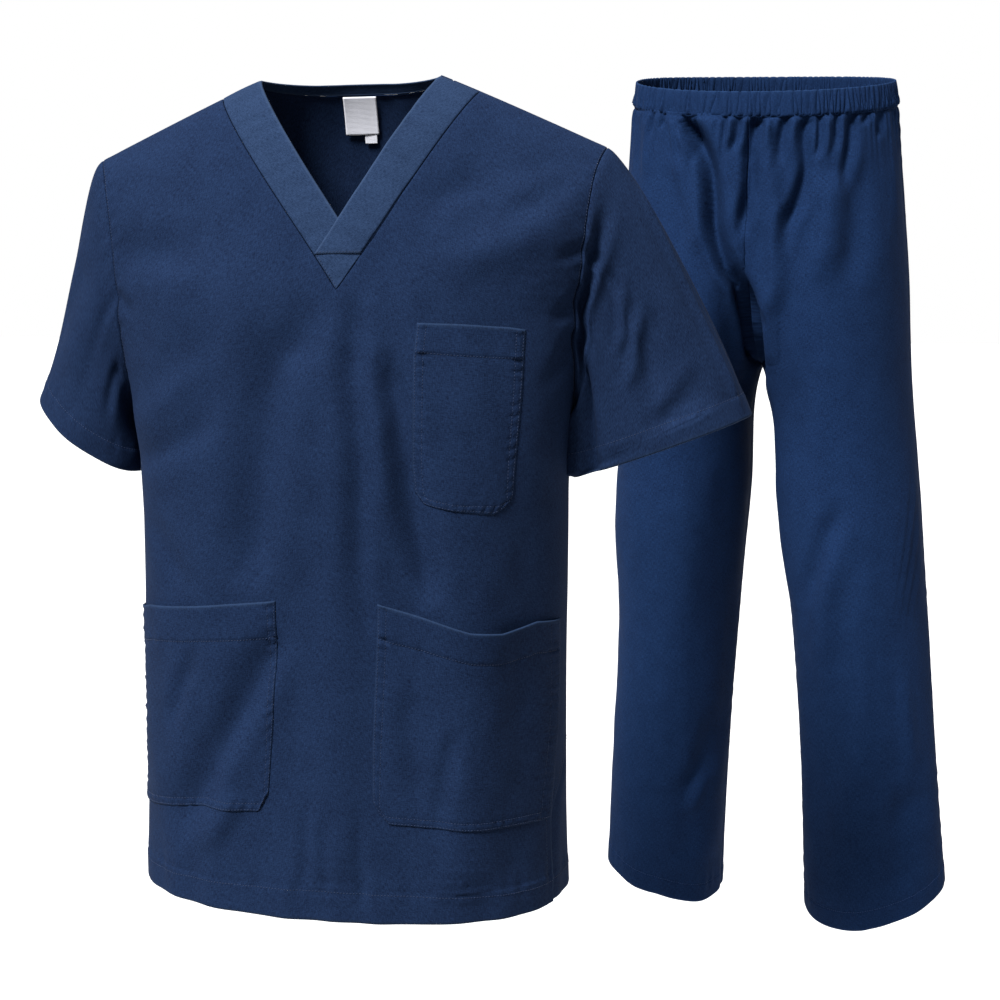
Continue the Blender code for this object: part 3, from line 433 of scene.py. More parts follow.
def rolled(distance, size=EDGE_ROUND):
    """How far a quarter round of the given size has turned in, at a distance from its edge."""
    left = np.clip(1 - distance / size, 0, 1)
    return size * (1 - np.sqrt(1 - left**2))


def groove(distance, depth=0.0004, width=0.0011):
    """A stitched line pulls the cloth in, as a narrow bell."""
    return depth * bell(distance, width)


def hem_edge(to_hem, height):
    """How far in the cloth lies over a hem: its stitched line less the thickness turned up under it."""
    turned_up = 1 - smooth_step(height - HEM_STEP, height + HEM_STEP, to_hem)
    return groove(to_hem - height) - HEM_THICK * turned_up


# 1 at an edge and 0 from 3.5 mm in: the share by which edges are painted lighter, partly for rubbed dye and
#                                    partly as a painted highlight
def edge_wear_and_highlight(distance):
    return 1 - smooth_step(0.0005, 0.0035, distance)


def add_mesh(mesh, material):
    """A smooth visible piece that rides on the set's one body."""
    mesh.shade_smooth()
    mesh.materials.append(material)
    piece = bpy.data.objects.new(mesh.name, mesh)
    bpy.context.scene.collection.objects.link(piece)
    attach(piece, "root")
    return piece


def add_cloth(name, slot, points, outward, uv, wear, thickness=CLOTH, quads=None, wrap=False):
    """The cloth that stands for the solid called name: a grid of points as a mesh with its faces
    turned outwards, made double by Solidify. The slot is the key of its material."""
    if quads is None:
        quads = grid_quads(numbered(points), wrap)
    points, outward = points.reshape(-1, 3), outward.reshape(-1, 3)
    used, quads = np.unique(quads, return_inverse=True)
    quads, points, outward = quads.reshape(-1, 4), points[used], outward[used]
    uv, wear = uv.reshape(-1, 2)[used], np.broadcast_to(np.ravel(wear), (used.max() + 1,))[used]
    corner = points[quads]
    facing = np.cross(corner[:, 2] - corner[:, 0], corner[:, 3] - corner[:, 1])
    if (facing * outward[quads[:, 0]]).sum() < 0:
        quads = quads[:, ::-1]
    mesh = bpy.data.meshes.new(name + "_cloth")
    mesh.from_pydata(points.tolist(), [], quads.tolist())
    corner_uv = uv[quads]
    whole = uv[:, 0].max() - uv[:, 0].min()
    crossing = np.ptp(corner_uv[..., 0], axis=1) > whole / 2
    shift = crossing[:, None] & (corner_uv[..., 0] < uv[:, 0].min() + whole / 2)
    corner_uv[..., 0] += np.where(shift, whole, 0)
    mesh.uv_layers.new(name="threads").data.foreach_set("uv", corner_uv.ravel())
    # the edge mask that paints edges lighter: rubbed dye and a painted highlight
    mesh.attributes.new("wear", "FLOAT", "POINT").data.foreach_set("value", wear.astype("float32"))
    piece = add_mesh(mesh, CLOTHS[slot])
    double = piece.modifiers.new("second layer", "SOLIDIFY")
    double.thickness, double.offset = thickness, -1
    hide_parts(name)
    area = 0.5 * np.linalg.norm(facing, axis=-1).sum()
    print(f"{name}: {len(quads)} quads, {area:.4f} m²")
    return piece


# %% [markdown]
# ## Thread
# Topstitching is a row of short, slightly sunken stitches, about three to the centimetre, in thread of
# the cloth's own colour. Each stitch is a tiny spindle with twelve faces, and all the stitches of a
# garment are one mesh. A curve with a bevel would give one smooth cord instead of single stitches.

# %% Thread helpers
STITCH_GAP, STITCH_LENGTH, STITCH_WIDTH = 0.0030, 0.0023, 0.0006    # the width is drawn double, to show
STITCH_RISE, STITCH_SINK = 0.00015, 0.0002    # its middle lies on the cloth and its ends go in


def sample(grid, rows, columns):
    """Values of a grid at fractional places, by blending the four neighbours."""
    rows = np.clip(rows, 0, grid.shape[0] - 1.001)
    columns = np.clip(columns, 0, grid.shape[1] - 1.001)
    i, j = rows.astype(int), columns.astype(int)
    a, b = (rows - i)[:, None], (columns - j)[:, None]
    return ((grid[i, j] * (1 - b) + grid[i, j + 1] * b) * (1 - a)
            + (grid[i + 1, j] * (1 - b) + grid[i + 1, j + 1] * b) * a)


def sew(sewn, points, outward, rows, columns):
    """Adds the vertices and faces of the stitches along a line over a grid of cloth."""
    rows, columns = np.broadcast_arrays(np.asarray(rows, float), np.asarray(columns, float))
    line, up = sample(points, rows, columns), sample(outward, rows, columns)
    run = run_of(line)
    at = np.arange(0.5 * STITCH_GAP, run[-1], STITCH_GAP)
    place, up = columns_at(at, run, line), unit(columns_at(at, run, up))
    ahead = unit(columns_at(at + 1e-3, run, line) - columns_at(at - 1e-3, run, line) + 1e-12)
    across = np.cross(up, ahead)
    end, ring, half = STITCH_LENGTH / 2, STITCH_LENGTH / 4, STITCH_WIDTH / 2
    shape = [(-end, 0, -STITCH_SINK)]
    for x in (-ring, ring):
        shape += [(x, half, 0), (x, 0, half * 0.8), (x, -half, 0), (x, 0, -half * 0.8)]
    shape = np.array(shape + [(end, 0, -STITCH_SINK)])
    vertices = (place[:, None] + shape[:, :1] * ahead[:, None] + shape[:, 1:2] * across[:, None]
                + (shape[:, 2:] + STITCH_RISE) * up[:, None])
    around = np.array([0, 1, 2, 3])
    following = np.roll(around, -1)
    tail = np.stack([np.zeros(4, int), 1 + following, 1 + around, 1 + around], -1)
    body = np.stack([1 + around, 1 + following, 5 + following, 5 + around], -1)
    head = np.stack([np.full(4, 9), 5 + around, 5 + following, 5 + following], -1)
    faces = np.concatenate([tail, body, head])
    faces = (faces + 10 * np.arange(len(at))[:, None, None]).reshape(-1, 4)
    sewn.append((vertices.reshape(-1, 3), faces))


def add_stitches(name, sewn, material):
    """All the stitches of a garment as one mesh. A repeated corner marks a triangle."""
    counts = np.cumsum([0] + [len(vertices) for vertices, _ in sewn])
    vertices = np.concatenate([vertices for vertices, _ in sewn])
    faces = np.concatenate([faces + start for (_, faces), start in zip(sewn, counts)])
    mesh = bpy.data.meshes.new(name)
    mesh.from_pydata(vertices.tolist(), [], [list(dict.fromkeys(face)) for face in faces.tolist()])
    print(f"{name}: {len(vertices) // 10} stitches")
    return add_mesh(mesh, material)


# %% [markdown]
# ## Cloth, thread and label as materials
# The cloth is poly-cotton poplin, 65% polyester and 35% cotton, piece-dyed navy: matt, with a faint
# sheen where it turns away, and with slubs, thicker lengths of thread that take the dye a little
# differently. Real threads lie 0.35 mm apart. That is finer than one pixel here, so the slubs are
# drawn 0.8 mm wide and 4 mm long, once along the warp and once along the weft.

# %% Material helpers
def linear(hex_colour, alpha=1.0):
    """An sRGB hex colour as linear values."""
    s = np.array([int(hex_colour[i:i + 2], 16) for i in (1, 3, 5)]) / 255
    return (*np.where(s <= 0.04045, s / 12.92, ((s + 0.055) / 1.055) ** 2.4), alpha)


def node(tree, kind, settings=None, inputs=None):
    """Adds a node. An input is a plain value, or another node and one of its outputs."""
    made = tree.nodes.new(kind)
    for name, value in (settings or {}).items():
        setattr(made, name, value)
    for name, value in (inputs or {}).items():
        if isinstance(value, tuple) and isinstance(value[0], bpy.types.Node):
            tree.links.new(value[0].outputs[value[1]], made.inputs[name])
        else:
            made.inputs[name].default_value = value
    return made


def noise(tree, vector, scale, detail, **more):
    return node(tree, "ShaderNodeTexNoise", None,
                {"Vector": vector, "Scale": scale, "Detail": detail, **more})


def maths(tree, operation, *values, clamp=False):
    return node(tree, "ShaderNodeMath", {"operation": operation, "use_clamp": clamp}, dict(enumerate(values)))


def blend(tree, share, first, second):
    """A mix of two colours by a share from 0 to 1."""
    return node(tree, "ShaderNodeMix", {"data_type": "RGBA"}, {0: share, 6: first, 7: second})


def bump(tree, strength, distance, height, **more):
    return node(tree, "ShaderNodeBump", None,
                {"Strength": strength, "Distance": distance, "Height": height, **more})


def start_material(name, roughness, sheen, sheen_colour, sheen_roughness=0.45, gloss=0.3):
    material = bpy.data.materials.new(name)
    material.use_nodes = True
    tree = material.node_tree
    shader = tree.nodes["Principled BSDF"]
    for socket, value in (("Roughness", roughness), ("Metallic", 0.0), ("Sheen Weight", sheen),
                          ("Sheen Roughness", sheen_roughness), ("Sheen Tint", linear(sheen_colour)),
                          ("Specular IOR Level", gloss)):
        shader.inputs[socket].default_value = value
    return material, tree, shader


# %% Woven cloth
SLUB_WIDTH, SLUB_LENGTH, SLUB_CONTRAST = 0.0008, 0.004, 1.6
RUB_AND_HIGHLIGHT = 0.45    # how far a marked edge is painted towards its lighter colour: rubbed dye and a painted highlight


def woven(name, dark, light, rubbed_and_lit):
    """Matt woven cloth. Slubs of warp and weft change its colour and height; soft blotches and
    creases too small to model are noise in the cloth; marked edges are painted lighter, partly for
    rubbed dye and partly as a painted highlight."""
    material, tree, shader = start_material(name, 0.9, 0.05, light, gloss=0.06)
    threads = node(tree, "ShaderNodeUVMap", {"uv_map": "threads"})
    slubs = []
    for scale in ((1 / SLUB_WIDTH, 1 / SLUB_LENGTH, 1), (1 / SLUB_LENGTH, 1 / SLUB_WIDTH, 1)):
        stretched = node(tree, "ShaderNodeMapping", None, {"Vector": (threads, 0), "Scale": scale})
        slubs.append(noise(tree, (stretched, 0), 1.0, 2.0, Roughness=0.6))
    weave = maths(tree, "ADD", (slubs[0], 0), (slubs[1], 0))
    place = (node(tree, "ShaderNodeTexCoord"), "Object")
    blotches = noise(tree, place, 45.0, 4.0, Roughness=0.65)
    crumple = noise(tree, place, 60.0, 2.0, Distortion=0.4)
    tone = maths(tree, "MULTIPLY_ADD", (blotches, 0), 0.5, 0.25)
    tone = maths(tree, "MULTIPLY_ADD", (weave, 0), SLUB_CONTRAST, (tone, 0))
    tone = maths(tree, "SUBTRACT", (tone, 0), SLUB_CONTRAST, clamp=True)
    colour = blend(tree, (tone, 0), linear(dark), linear(light))
    # marked edges are painted lighter: rubbed dye and a painted highlight
    wear = node(tree, "ShaderNodeAttribute", {"attribute_name": "wear"})
    rub_and_highlight = maths(tree, "MULTIPLY", (wear, "Fac"), RUB_AND_HIGHLIGHT)
    colour = blend(tree, (rub_and_highlight, 0), (colour, 2), linear(rubbed_and_lit))
    tree.links.new(colour.outputs[2], shader.inputs["Base Color"])
    soft = bump(tree, 0.25, 0.0012, (crumple, 0))
    fine = bump(tree, 0.30, 0.0003, (weave, 0), Normal=(soft, 0))
    tree.links.new(fine.outputs[0], shader.inputs["Normal"])
    return material


# The third colour of each cloth is the one painted on marked edges: rubbed dye and a painted highlight.
CLOTHS = {
    "tunic_cloth": woven("poly-cotton poplin, piece-dyed navy", "#0A1429", "#1A2B48", "#27374F"),
    # The neckbands are the same poplin painted lighter than the body: partly a more worn look, partly a
    # painted highlight on the neckline.
    "tunic_band_cloth": woven("poly-cotton poplin, cut double for neckbands", "#132036", "#263753",
                              "#35455F"),
    "trouser_cloth": woven("poly-cotton poplin, dyed a bluer navy", "#08162F", "#162C4F", "#203658"),
}

# %% [markdown]
# The label is damask-woven polyester satin: pale, smooth, with fine ribs across. The thread is core-spun
# polyester: a little glossier and lighter than the cloth, which lets a stitched line catch the light.

# %% Label satin and thread
RIB = 0.0012    # real ribs are 0.3 mm apart; these are drawn wider, to show


def label_satin():
    material, tree, shader = start_material("polyester satin, damask-woven", 0.55, 0.2, "#FFFFFF", 0.3)
    threads = node(tree, "ShaderNodeUVMap", {"uv_map": "threads"})
    ribs = node(tree, "ShaderNodeTexWave", {"wave_type": "BANDS", "bands_direction": "Y"},
                {"Vector": (threads, 0), "Scale": 1 / RIB / 3.14, "Distortion": 0.6, "Detail": 2.0})
    colour = blend(tree, (ribs, 1), linear("#E4E5F0"), linear("#F2F3FB"))
    tree.links.new(colour.outputs[2], shader.inputs["Base Color"])
    tree.links.new(bump(tree, 0.25, 0.0002, (ribs, 1)).outputs[0], shader.inputs["Normal"])
    return material


def spun_thread(name, dark, light):
    material, tree, shader = start_material(name, 0.6, 0.1, light)
    twist = noise(tree, (node(tree, "ShaderNodeTexCoord"), "Object"), 900.0, 2.0)
    colour = blend(tree, (twist, 0), linear(dark), linear(light))
    tree.links.new(colour.outputs[2], shader.inputs["Base Color"])
    return material


CLOTHS["label_weave"] = label_satin()
tunic_thread = spun_thread("core-spun polyester thread, navy", "#131F38", "#22314E")
trouser_thread = spun_thread("core-spun polyester thread, bluer navy", "#0E2145", "#1A3460")
print("materials:", len(bpy.data.materials))


# %% [markdown]
# ## Front and back panels
# The front is cut in one piece with a V for the neck, the back with a shallow curve. Each is worked out
# as two halves from the middle to the side, sewn along the shoulder, armhole and side seam, and welded
# down the middle below the neck. Rows and columns close up near seams and hems, where the shape is finer.

# %% Panel edges
def vent(level):
    """0 above the side vents and 1 where they are fully open."""
    return smooth_step(low_level(VENT_TOP_Z), low_level(VENT_FULL_Z), level)


def side_theta(level, vent_angle):
    """Angle of a panel's outer edge: the armhole above the underarm, the side seam and vent below."""
    along = np.clip(level / UNDERARM_LEVEL, 0, 1)
    return np.pi / 2 - ARMHOLE_CUT * np.cos(np.pi / 2 * along**1.5) ** 0.7 - vent_angle * vent(level)


def shoulder_z(x):
    return RIDGE_TOP - SHOULDER_SLOPE * shoulder_run(x)


def v_seam_x(level):
    """Half width of the straight V seam on each row, found by halving; 0 below its point."""
    drop = np.cos(np.minimum(level, 1) * np.pi / 2) ** DROP_ROUND
    low, high = np.zeros_like(drop), np.full_like(drop, V_SEAM_X)
    for _ in range(40):
        x = (low + high) / 2
        row_z = CHEST_Z + (RIDGE_TOP - CHEST_Z) * drop - SHOULDER_SLOPE * shoulder_run(x) * drop**2
        above = row_z > V_SEAM_Z + (shoulder_z(V_SEAM_X) - V_SEAM_Z) * x / V_SEAM_X
        low, high = np.where(above, x, low), np.where(above, high, x)
    return np.where(x < 1e-6, 0, x)


def back_seam_x(level):
    """Half width of the round back neck seam on each row, 0 below its lowest point."""
    return BACK_SEAM_X * np.sqrt(np.maximum(1 - (level / BACK_SEAM_LEVEL) ** 2, 0))


# %% The panels
HEM_HEIGHT, VENT_HEM, ARM_STITCH = 0.029, 0.011, 0.0024
PACE_THETA, PACE_LEVEL = 0.7, 1.3    # where the distances between rows and columns are measured
Panel = namedtuple("Panel", "points outward rows quads uv wear")


def panel_rows(split, theta, coarse):
    """Levels of a panel's rows: one lies exactly where the neck seam ends."""
    parts = []
    for low, high in ((0, split), (split, 2)):
        level = np.linspace(low, high, 3000)
        run = run_of(torso(theta, level))
        stops = [0] if low == 0 else [run[-1], run[-1] - HEM_HEIGHT]
        parts.append(paced(level, run, coarse, FINE_STEP, stops))
    return np.concatenate([parts[0], parts[1][1:]])


def make_panel(facing, split, neck_seam_x, coarse, seed):
    """Both halves of a panel; facing is 1 for the front and -1 for the back. At the vents the front
    draws back from the side, and the back's edge follows it and passes a little under it."""
    level = panel_rows(split, PACE_THETA if facing > 0 else np.pi - PACE_THETA, coarse)[:, None]
    angle = np.linspace(0, np.pi / 2, 2000)
    run = run_of(torso(angle, PACE_LEVEL))
    across = paced(angle, run, coarse, FINE_STEP, (0.0, run[-1]), 0.002) / (np.pi / 2)
    inner = theta_at(neck_seam_x(level), level)
    front_edge = side_theta(level, facing * VENT_FRONT)
    lap = 0 if facing > 0 else VENT_LAP * smooth_step(VENT_LAP_START, 1, vent(level))
    theta = inner + (front_edge + lap - inner) * across
    under = 0 if facing > 0 else smooth_step(-VENT_LAP_REACH, 0, theta - front_edge)
    under = under * smooth_step(0, VENT_LAP_START, vent(level)) * VENT_LAP_DEPTH
    theta = theta if facing > 0 else np.pi - theta
    halves = [torso_cloth(side * theta, level) for side in (1, -1)]
    points, outward = (np.stack(part) for part in zip(*halves))
    points = points - outward * np.broadcast_to(under, theta.shape)[..., None]
    from_middle, down = run_of(points, axis=2), run_of(points, axis=1)
    to_side, to_hem = from_middle[..., -1:] - from_middle, down[:, -1:] - down
    to_neck = np.where(level < split - 1e-9, from_middle, 1.0)
    edge = np.minimum.reduce([to_side, to_hem, to_neck, down])
    open_side = vent(level) > 0.02
    inward = rolled(edge) + hem_edge(to_hem, HEM_HEIGHT) + open_side * groove(to_side - VENT_HEM)
    inward = inward + pucker(seed, 0.00030, 0.016, from_middle, to_hem - HEM_HEIGHT, 0.010)
    inward = inward + 0.0007 * ripple(seed + 1, 0.055, from_middle) * smooth_step(0.09, 0, to_hem)
    by_armhole = (level < UNDERARM_LEVEL) * smooth_step(0, 0.004, to_side)
    inward = inward + by_armhole * pucker(seed + 2, 0.00045, 0.019, down, to_side, 0.012)
    points = points - outward * inward[..., None]
    index = numbered(points)
    welded = level[:, 0] > split - 1e-9
    index[1, welded, 0] = index[0, welded, 0]
    quads = np.concatenate([grid_quads(index[0]), grid_quads(index[1][:, ::-1])])
    sign = np.array([1, -1])[:, None, None]
    uv = np.stack([sign * (from_middle + neck_seam_x(level)), -down], -1)
    # hems and open vent edges are painted lighter: rubbed dye and a painted highlight
    folded = np.minimum(to_hem, np.where(open_side, to_side, 1.0))
    return Panel(points, outward, level[:, 0], quads, uv, edge_wear_and_highlight(folded))


front = make_panel(1, V_SEAM_LEVEL, v_seam_x, 0.0036, 11)
front_piece = add_cloth("front", "tunic_cloth", front.points, front.outward, front.uv, front.wear,
                        quads=front.quads)

back = make_panel(-1, BACK_SEAM_LEVEL, back_seam_x, 0.0040, 21)
back_piece = add_cloth("back", "tunic_cloth", back.points, back.outward, back.uv, back.wear,
                       quads=back.quads)

# %% Stitches on the panels
tunic_sewn = []


def row_of(rows, value):
    """Fractional row where a rising list of rows reaches a value."""
    return np.interp(value, rows, np.arange(len(rows)))


for panel in (front, back):
    hem_row = row_of(panel.rows, 2 - HEM_HEIGHT / (CHEST_Z - HEM_Z))
    arm = np.linspace(2, row_of(panel.rows, UNDERARM_LEVEL) - 1, 200)
    low = np.linspace(row_of(panel.rows, low_level(VENT_TOP_Z)), hem_row, 120)
    for half, outward in zip(panel.points, panel.outward):
        sew(tunic_sewn, half, outward, hem_row, np.linspace(0, half.shape[1] - 2, 400))
        to_side = run_of(half, axis=1)
        to_side = to_side[:, -1:] - to_side
        for rows, inset in ((arm, ARM_STITCH), (low, VENT_HEM)):
            columns = [row_of(-to_side[int(row)], -inset) for row in rows]
            sew(tunic_sewn, half, outward, rows, columns)
print("rows of stitches so far:", len(tunic_sewn))


# %% [markdown]
# ## Sleeves
# A short set-in sleeve is a tube. It leaves the armhole along the shoulder, turns down, and hangs open
# at the cuff. Every column is a cubic from the armhole seam to an oval cuff, tilted because the arm
# hangs a little out. Creases are placed by how far round and how far down the sleeve they lie.

# %% Sleeve sizes and creases
Sleeve = namedtuple("Sleeve", "side x y z half_width half_depth tilt turn drop")
SLEEVES = {
    "sleeve_left": Sleeve(1, 0.2985, 0.006, -0.348, 0.0895, 0.047, 20, 0, 0.45),
    "sleeve_right": Sleeve(-1, 0.267, 0.024, -0.340, 0.070, 0.051, 34, 26, 0.70),
}
SLEEVE_START, SLEEVE_END, SLEEVE_HEM = 0.45, 0.80, 0.023
ROUND, DOWN = 0.46, 0.24    # usual distance round and down a sleeve, to turn shares into metres
# paths in thousandths of the way round and down: round is 0 at the shoulder, 250 in front, 500 under
# the arm and 750 behind
SLEEVE_FOLDS = {
    "sleeve_left": folds(
        (9.5, 14, 20, 30, 20, (80, 130), (170, 140), (260, 110), (340, 170), (420, 300)),
        (11, 15, 0, 20, 2, (370, 220), (385, 450), (390, 700), (400, 1000)),
        (-3.4, 6, 0, 15, 10, (13, 220), (33, 380), (47, 560), (60, 750), (62, 970)),
        (-4.2, 9, 0, 30, 30, (165, 300), (223, 420), (262, 500)),
        (-4.2, 9, 0, 30, 30, (172, 440), (230, 540), (262, 660)),
        (3.4, 12, 0, 30, 30, (145, 460), (196, 600), (228, 720)),
        (-2.4, 10, 0, 30, 30, (120, 700), (197, 760), (250, 800)),
        (8.5, 34, 0, 25, 10, (200, 120), (205, 450), (195, 920)),
        (-10.5, 30, 0, 30, 6, (460, 280), (465, 620), (470, 970)),
        (6, 18, 0, 30, 30, (600, 100), (680, 350), (740, 700)),
        (-4.5, 18, 0, 30, 30, (820, 180), (840, 450), (860, 750)),
    ),
    "sleeve_right": folds(
        (2.6, 9, 0, 25, 30, (400, 120), (370, 350), (355, 720)),
        (-2.2, 20, 0, 25, 30, (230, 160), (210, 450), (190, 780)),
        (1.6, 14, 0, 25, 30, (140, 300), (120, 540), (110, 800)),
        (5, 18, 0, 30, 30, (620, 120), (680, 400), (730, 740)),
        (-4.2, 18, 0, 30, 30, (820, 160), (850, 450), (880, 760)),
    ),
}


# %% The sleeves
def armhole(side, count):
    """The armhole's loop from the shoulder tip down the front and up the back, evenly spaced, with
    how far down each point is, the way the sleeve leaves it, and its outward direction."""
    halves = []
    for back_half in (False, True):
        levels = UNDERARM_LEVEL * np.linspace(0, 1, 1500)
        theta = side_theta(levels, 0)
        theta = side * (np.pi - theta if back_half else theta)
        edge, outward = torso_cloth(theta, levels)
        safe = np.clip(levels, 2e-4, 2)
        away = torso(theta + 1e-3, safe) - torso(theta - 1e-3, safe)
        away = unit(away * (-side if back_half else side))
        run = run_of(edge)
        at = np.interp(np.linspace(0, run[-1], count + 1), run, np.arange(1500))
        table = np.concatenate([edge, away, outward, levels[:, None] / UNDERARM_LEVEL], axis=1)
        picked = columns_at(at, np.arange(1500), table)
        halves.append(picked if not back_half else picked[-2:0:-1])
    table = np.concatenate(halves)
    return table[:, :3], unit(table[:, 3:6]), unit(table[:, 6:9]), table[:, 9:]


def make_sleeve(name, sleeve, count=66, seed=31):
    loop, away, outward, down = armhole(sleeve.side, count)
    fraction = np.arange(2 * count) / (2 * count)
    tilt, swing = np.radians(sleeve.tilt), np.radians(sleeve.turn)
    across = np.array([sleeve.side * np.cos(tilt) * np.cos(swing), np.cos(tilt) * np.sin(swing),
                       np.sin(tilt)])
    back_way = np.array([-sleeve.side * np.sin(swing), np.cos(swing), 0.0])
    axis = np.cross(across, back_way)
    axis *= -np.sign(axis[2])
    angle = 2 * np.pi * fraction[:, None]
    cuff = (np.array([sleeve.side * sleeve.x, sleeve.y, sleeve.z])
            + sleeve.half_width * np.cos(angle) * across - sleeve.half_depth * np.sin(angle) * back_way)
    low = down**2
    lead = unit((away + sleeve.drop * axis) * (1 - low) + np.array([sleeve.side, 0, -0.25]) * low)
    reach = np.linalg.norm(cuff - loop, axis=-1, keepdims=True)
    t = paced_shares(DOWN, 0.0036, FINE_STEP, (0.0, DOWN - SLEEVE_HEM, DOWN))[:, None, None]
    points = cubic(t, loop, SLEEVE_START * reach * lead, cuff, SLEEVE_END * reach * axis)
    around = np.roll(points, -1, axis=1) - np.roll(points, 1, axis=1)
    normal = unit(np.cross(np.gradient(points, axis=0), around))
    normal *= np.sign((normal * (points - points.mean(axis=1, keepdims=True))).sum(-1).mean())
    normal[0] = unit(outward * (1 - low) + normal[0] * low)
    creases = [fold._replace(path=fold.path * (ROUND, -DOWN)) for fold in SLEEVE_FOLDS[name]]
    round_run = fraction[None, :] * ROUND
    where = (round_run, -t[..., 0] * DOWN)
    relief = fold_relief(creases, *where) + 0.0005 * waves(seed, 0.06, 0.12, *where)
    relief = relief * smooth_step(0, 0.05, t[..., 0])
    from_seam = run_of(points)
    to_cuff = from_seam[-1:] - from_seam
    edge = np.minimum(from_seam, to_cuff)
    cuff_pucker = pucker(seed + 1, 0.0003, ROUND / 26, round_run, to_cuff - SLEEVE_HEM, 0.009)
    cap = pucker(seed + 2, 0.0004, ROUND / 22, round_run, from_seam, 0.016)
    from_shoulder = 0.5 - np.abs(fraction - 0.5)
    cap = cap * smooth_step(0, 0.004, from_seam) * smooth_step(0.35, 0.2, from_shoulder)
    relief = relief + rolled(edge) + hem_edge(to_cuff, SLEEVE_HEM) + cuff_pucker + cap
    points = points - normal * relief[..., None]
    uv = np.stack([np.broadcast_to(round_run, to_cuff.shape), -from_seam], -1)
    # the cuff's edge is painted lighter: rubbed dye and a painted highlight
    piece = add_cloth(name, "tunic_cloth", points, normal, uv, edge_wear_and_highlight(to_cuff), wrap=True)
    closed = [np.concatenate([grid, grid[:, :1]], axis=1) for grid in (points, normal)]
    columns = np.arange(2 * count + 1)
    rows = [row_of(-to_cuff[:, column % (2 * count)], -SLEEVE_HEM) for column in columns]
    sew(tunic_sewn, *closed, rows, columns)
    return piece


left_sleeve = make_sleeve("sleeve_left", SLEEVES["sleeve_left"])
right_sleeve = make_sleeve("sleeve_right", SLEEVES["sleeve_right"], seed=41)


# %% [markdown]
# ## Neckband
# The V is finished with two straight bands, folded double. The wearer's left band lies over the other
# one and is stitched off square across the point; the end of the band below fills the small triangle
# under it. A narrow strip runs round the back of the neck. Double cloth stands a little proud of the
# front and is gently crowned, so the bands catch the light.

# %% The bands of the V
BAND, BAND_EDGE_ROUND, BAND_STITCH = 0.0017, 0.0019, 0.0022
TIP_STITCH = 0.040    # how far up from the point the lower band is sewn down


def make_band(name, side, over):
    seam_top = np.array([V_SEAM_X, shoulder_z(V_SEAM_X)])
    edge_top = np.array([NECK_X, 0.0])
    seam_slope, edge_slope = V_SEAM_X / (seam_top[1] - V_SEAM_Z), NECK_X / -V_EDGE_Z
    cross_z = (edge_slope * V_EDGE_Z + seam_slope * V_SEAM_Z) / (edge_slope + seam_slope)
    cross_x = (cross_z - V_SEAM_Z) * seam_slope
    seam_low = np.array([cross_x, cross_z]) if over else np.array([0.0, V_SEAM_Z])
    edge_low = np.array([-cross_x, cross_z])
    length = np.linalg.norm(seam_low - seam_top)
    along = paced_shares(length, 0.0028, 0.0009, (0, length))[:, None, None]
    width = np.linalg.norm(edge_top - seam_top)
    across = paced_shares(width, 0.0024, 0.0007, (0, width))[None, :, None]
    flat = ((seam_top + (seam_low - seam_top) * along) * (1 - across)
            + (edge_top + (edge_low - edge_top) * along) * across)
    level = level_at(flat[..., 1], flat[..., 0])
    level[0] = 0
    points, outward = torso_cloth(side * theta_at(flat[..., 0], level), level)
    from_seam, down = run_of(points, axis=1), run_of(points, axis=0)
    to_edge, to_end = from_seam[:, -1:] - from_seam, down[-1:] - down
    edge = np.minimum.reduce([from_seam, to_edge, down] + ([to_end] if over else []))
    lift = (BAND + 0.0002) * smooth_step(0.45, 0.78, along[..., 0]) if over else 0
    crown = 0.0006 * np.sin(np.pi * np.clip(across[..., 0], 0, 1))
    inward = rolled(edge, BAND_EDGE_ROUND) - crown - lift
    if over:
        inward = inward + groove(to_end - BAND_STITCH)
    inward = inward + 0.00025 * ripple(51 + over, 0.021, down)
    points = points - outward * inward[..., None]
    uv = np.stack([from_seam, -down], -1)
    # The band's outer edge, and on the over band its stitched-off end, are painted lighter: mostly a painted
    # highlight where the edge catches the light, with some rubbed dye.
    wear = edge_wear_and_highlight(np.minimum(to_edge, to_end) if over else to_edge)
    piece = add_cloth(name, "tunic_band_cloth", points, outward, uv, wear, BAND)
    return piece, points, outward, down, from_seam


under_band, *under = make_band("neck_band_right", -1, False)
over_band, *over = make_band("neck_band_left", 1, True)
points, outward, down, from_seam = over
end_row = row_of(down.mean(axis=1), down[-1].mean() - BAND_STITCH)
sew(tunic_sewn, points, outward, end_row, np.linspace(1, points.shape[1] - 2, 60))
points, outward, down, from_seam = under
rows = np.linspace(row_of(down[:, 0], down[-1, 0] - TIP_STITCH), len(down) - 3, 60)
for by_edge in (False, True):
    insets = [from_seam[int(row), -1] - BAND_STITCH if by_edge else BAND_STITCH for row in rows]
    columns = [row_of(from_seam[int(row)], inset) for row, inset in zip(rows, insets)]
    sew(tunic_sewn, points, outward, rows, columns)


# %% Back neckband, label and size tab
LABEL_INSET = 0.0036    # how far inside the back the labels hang


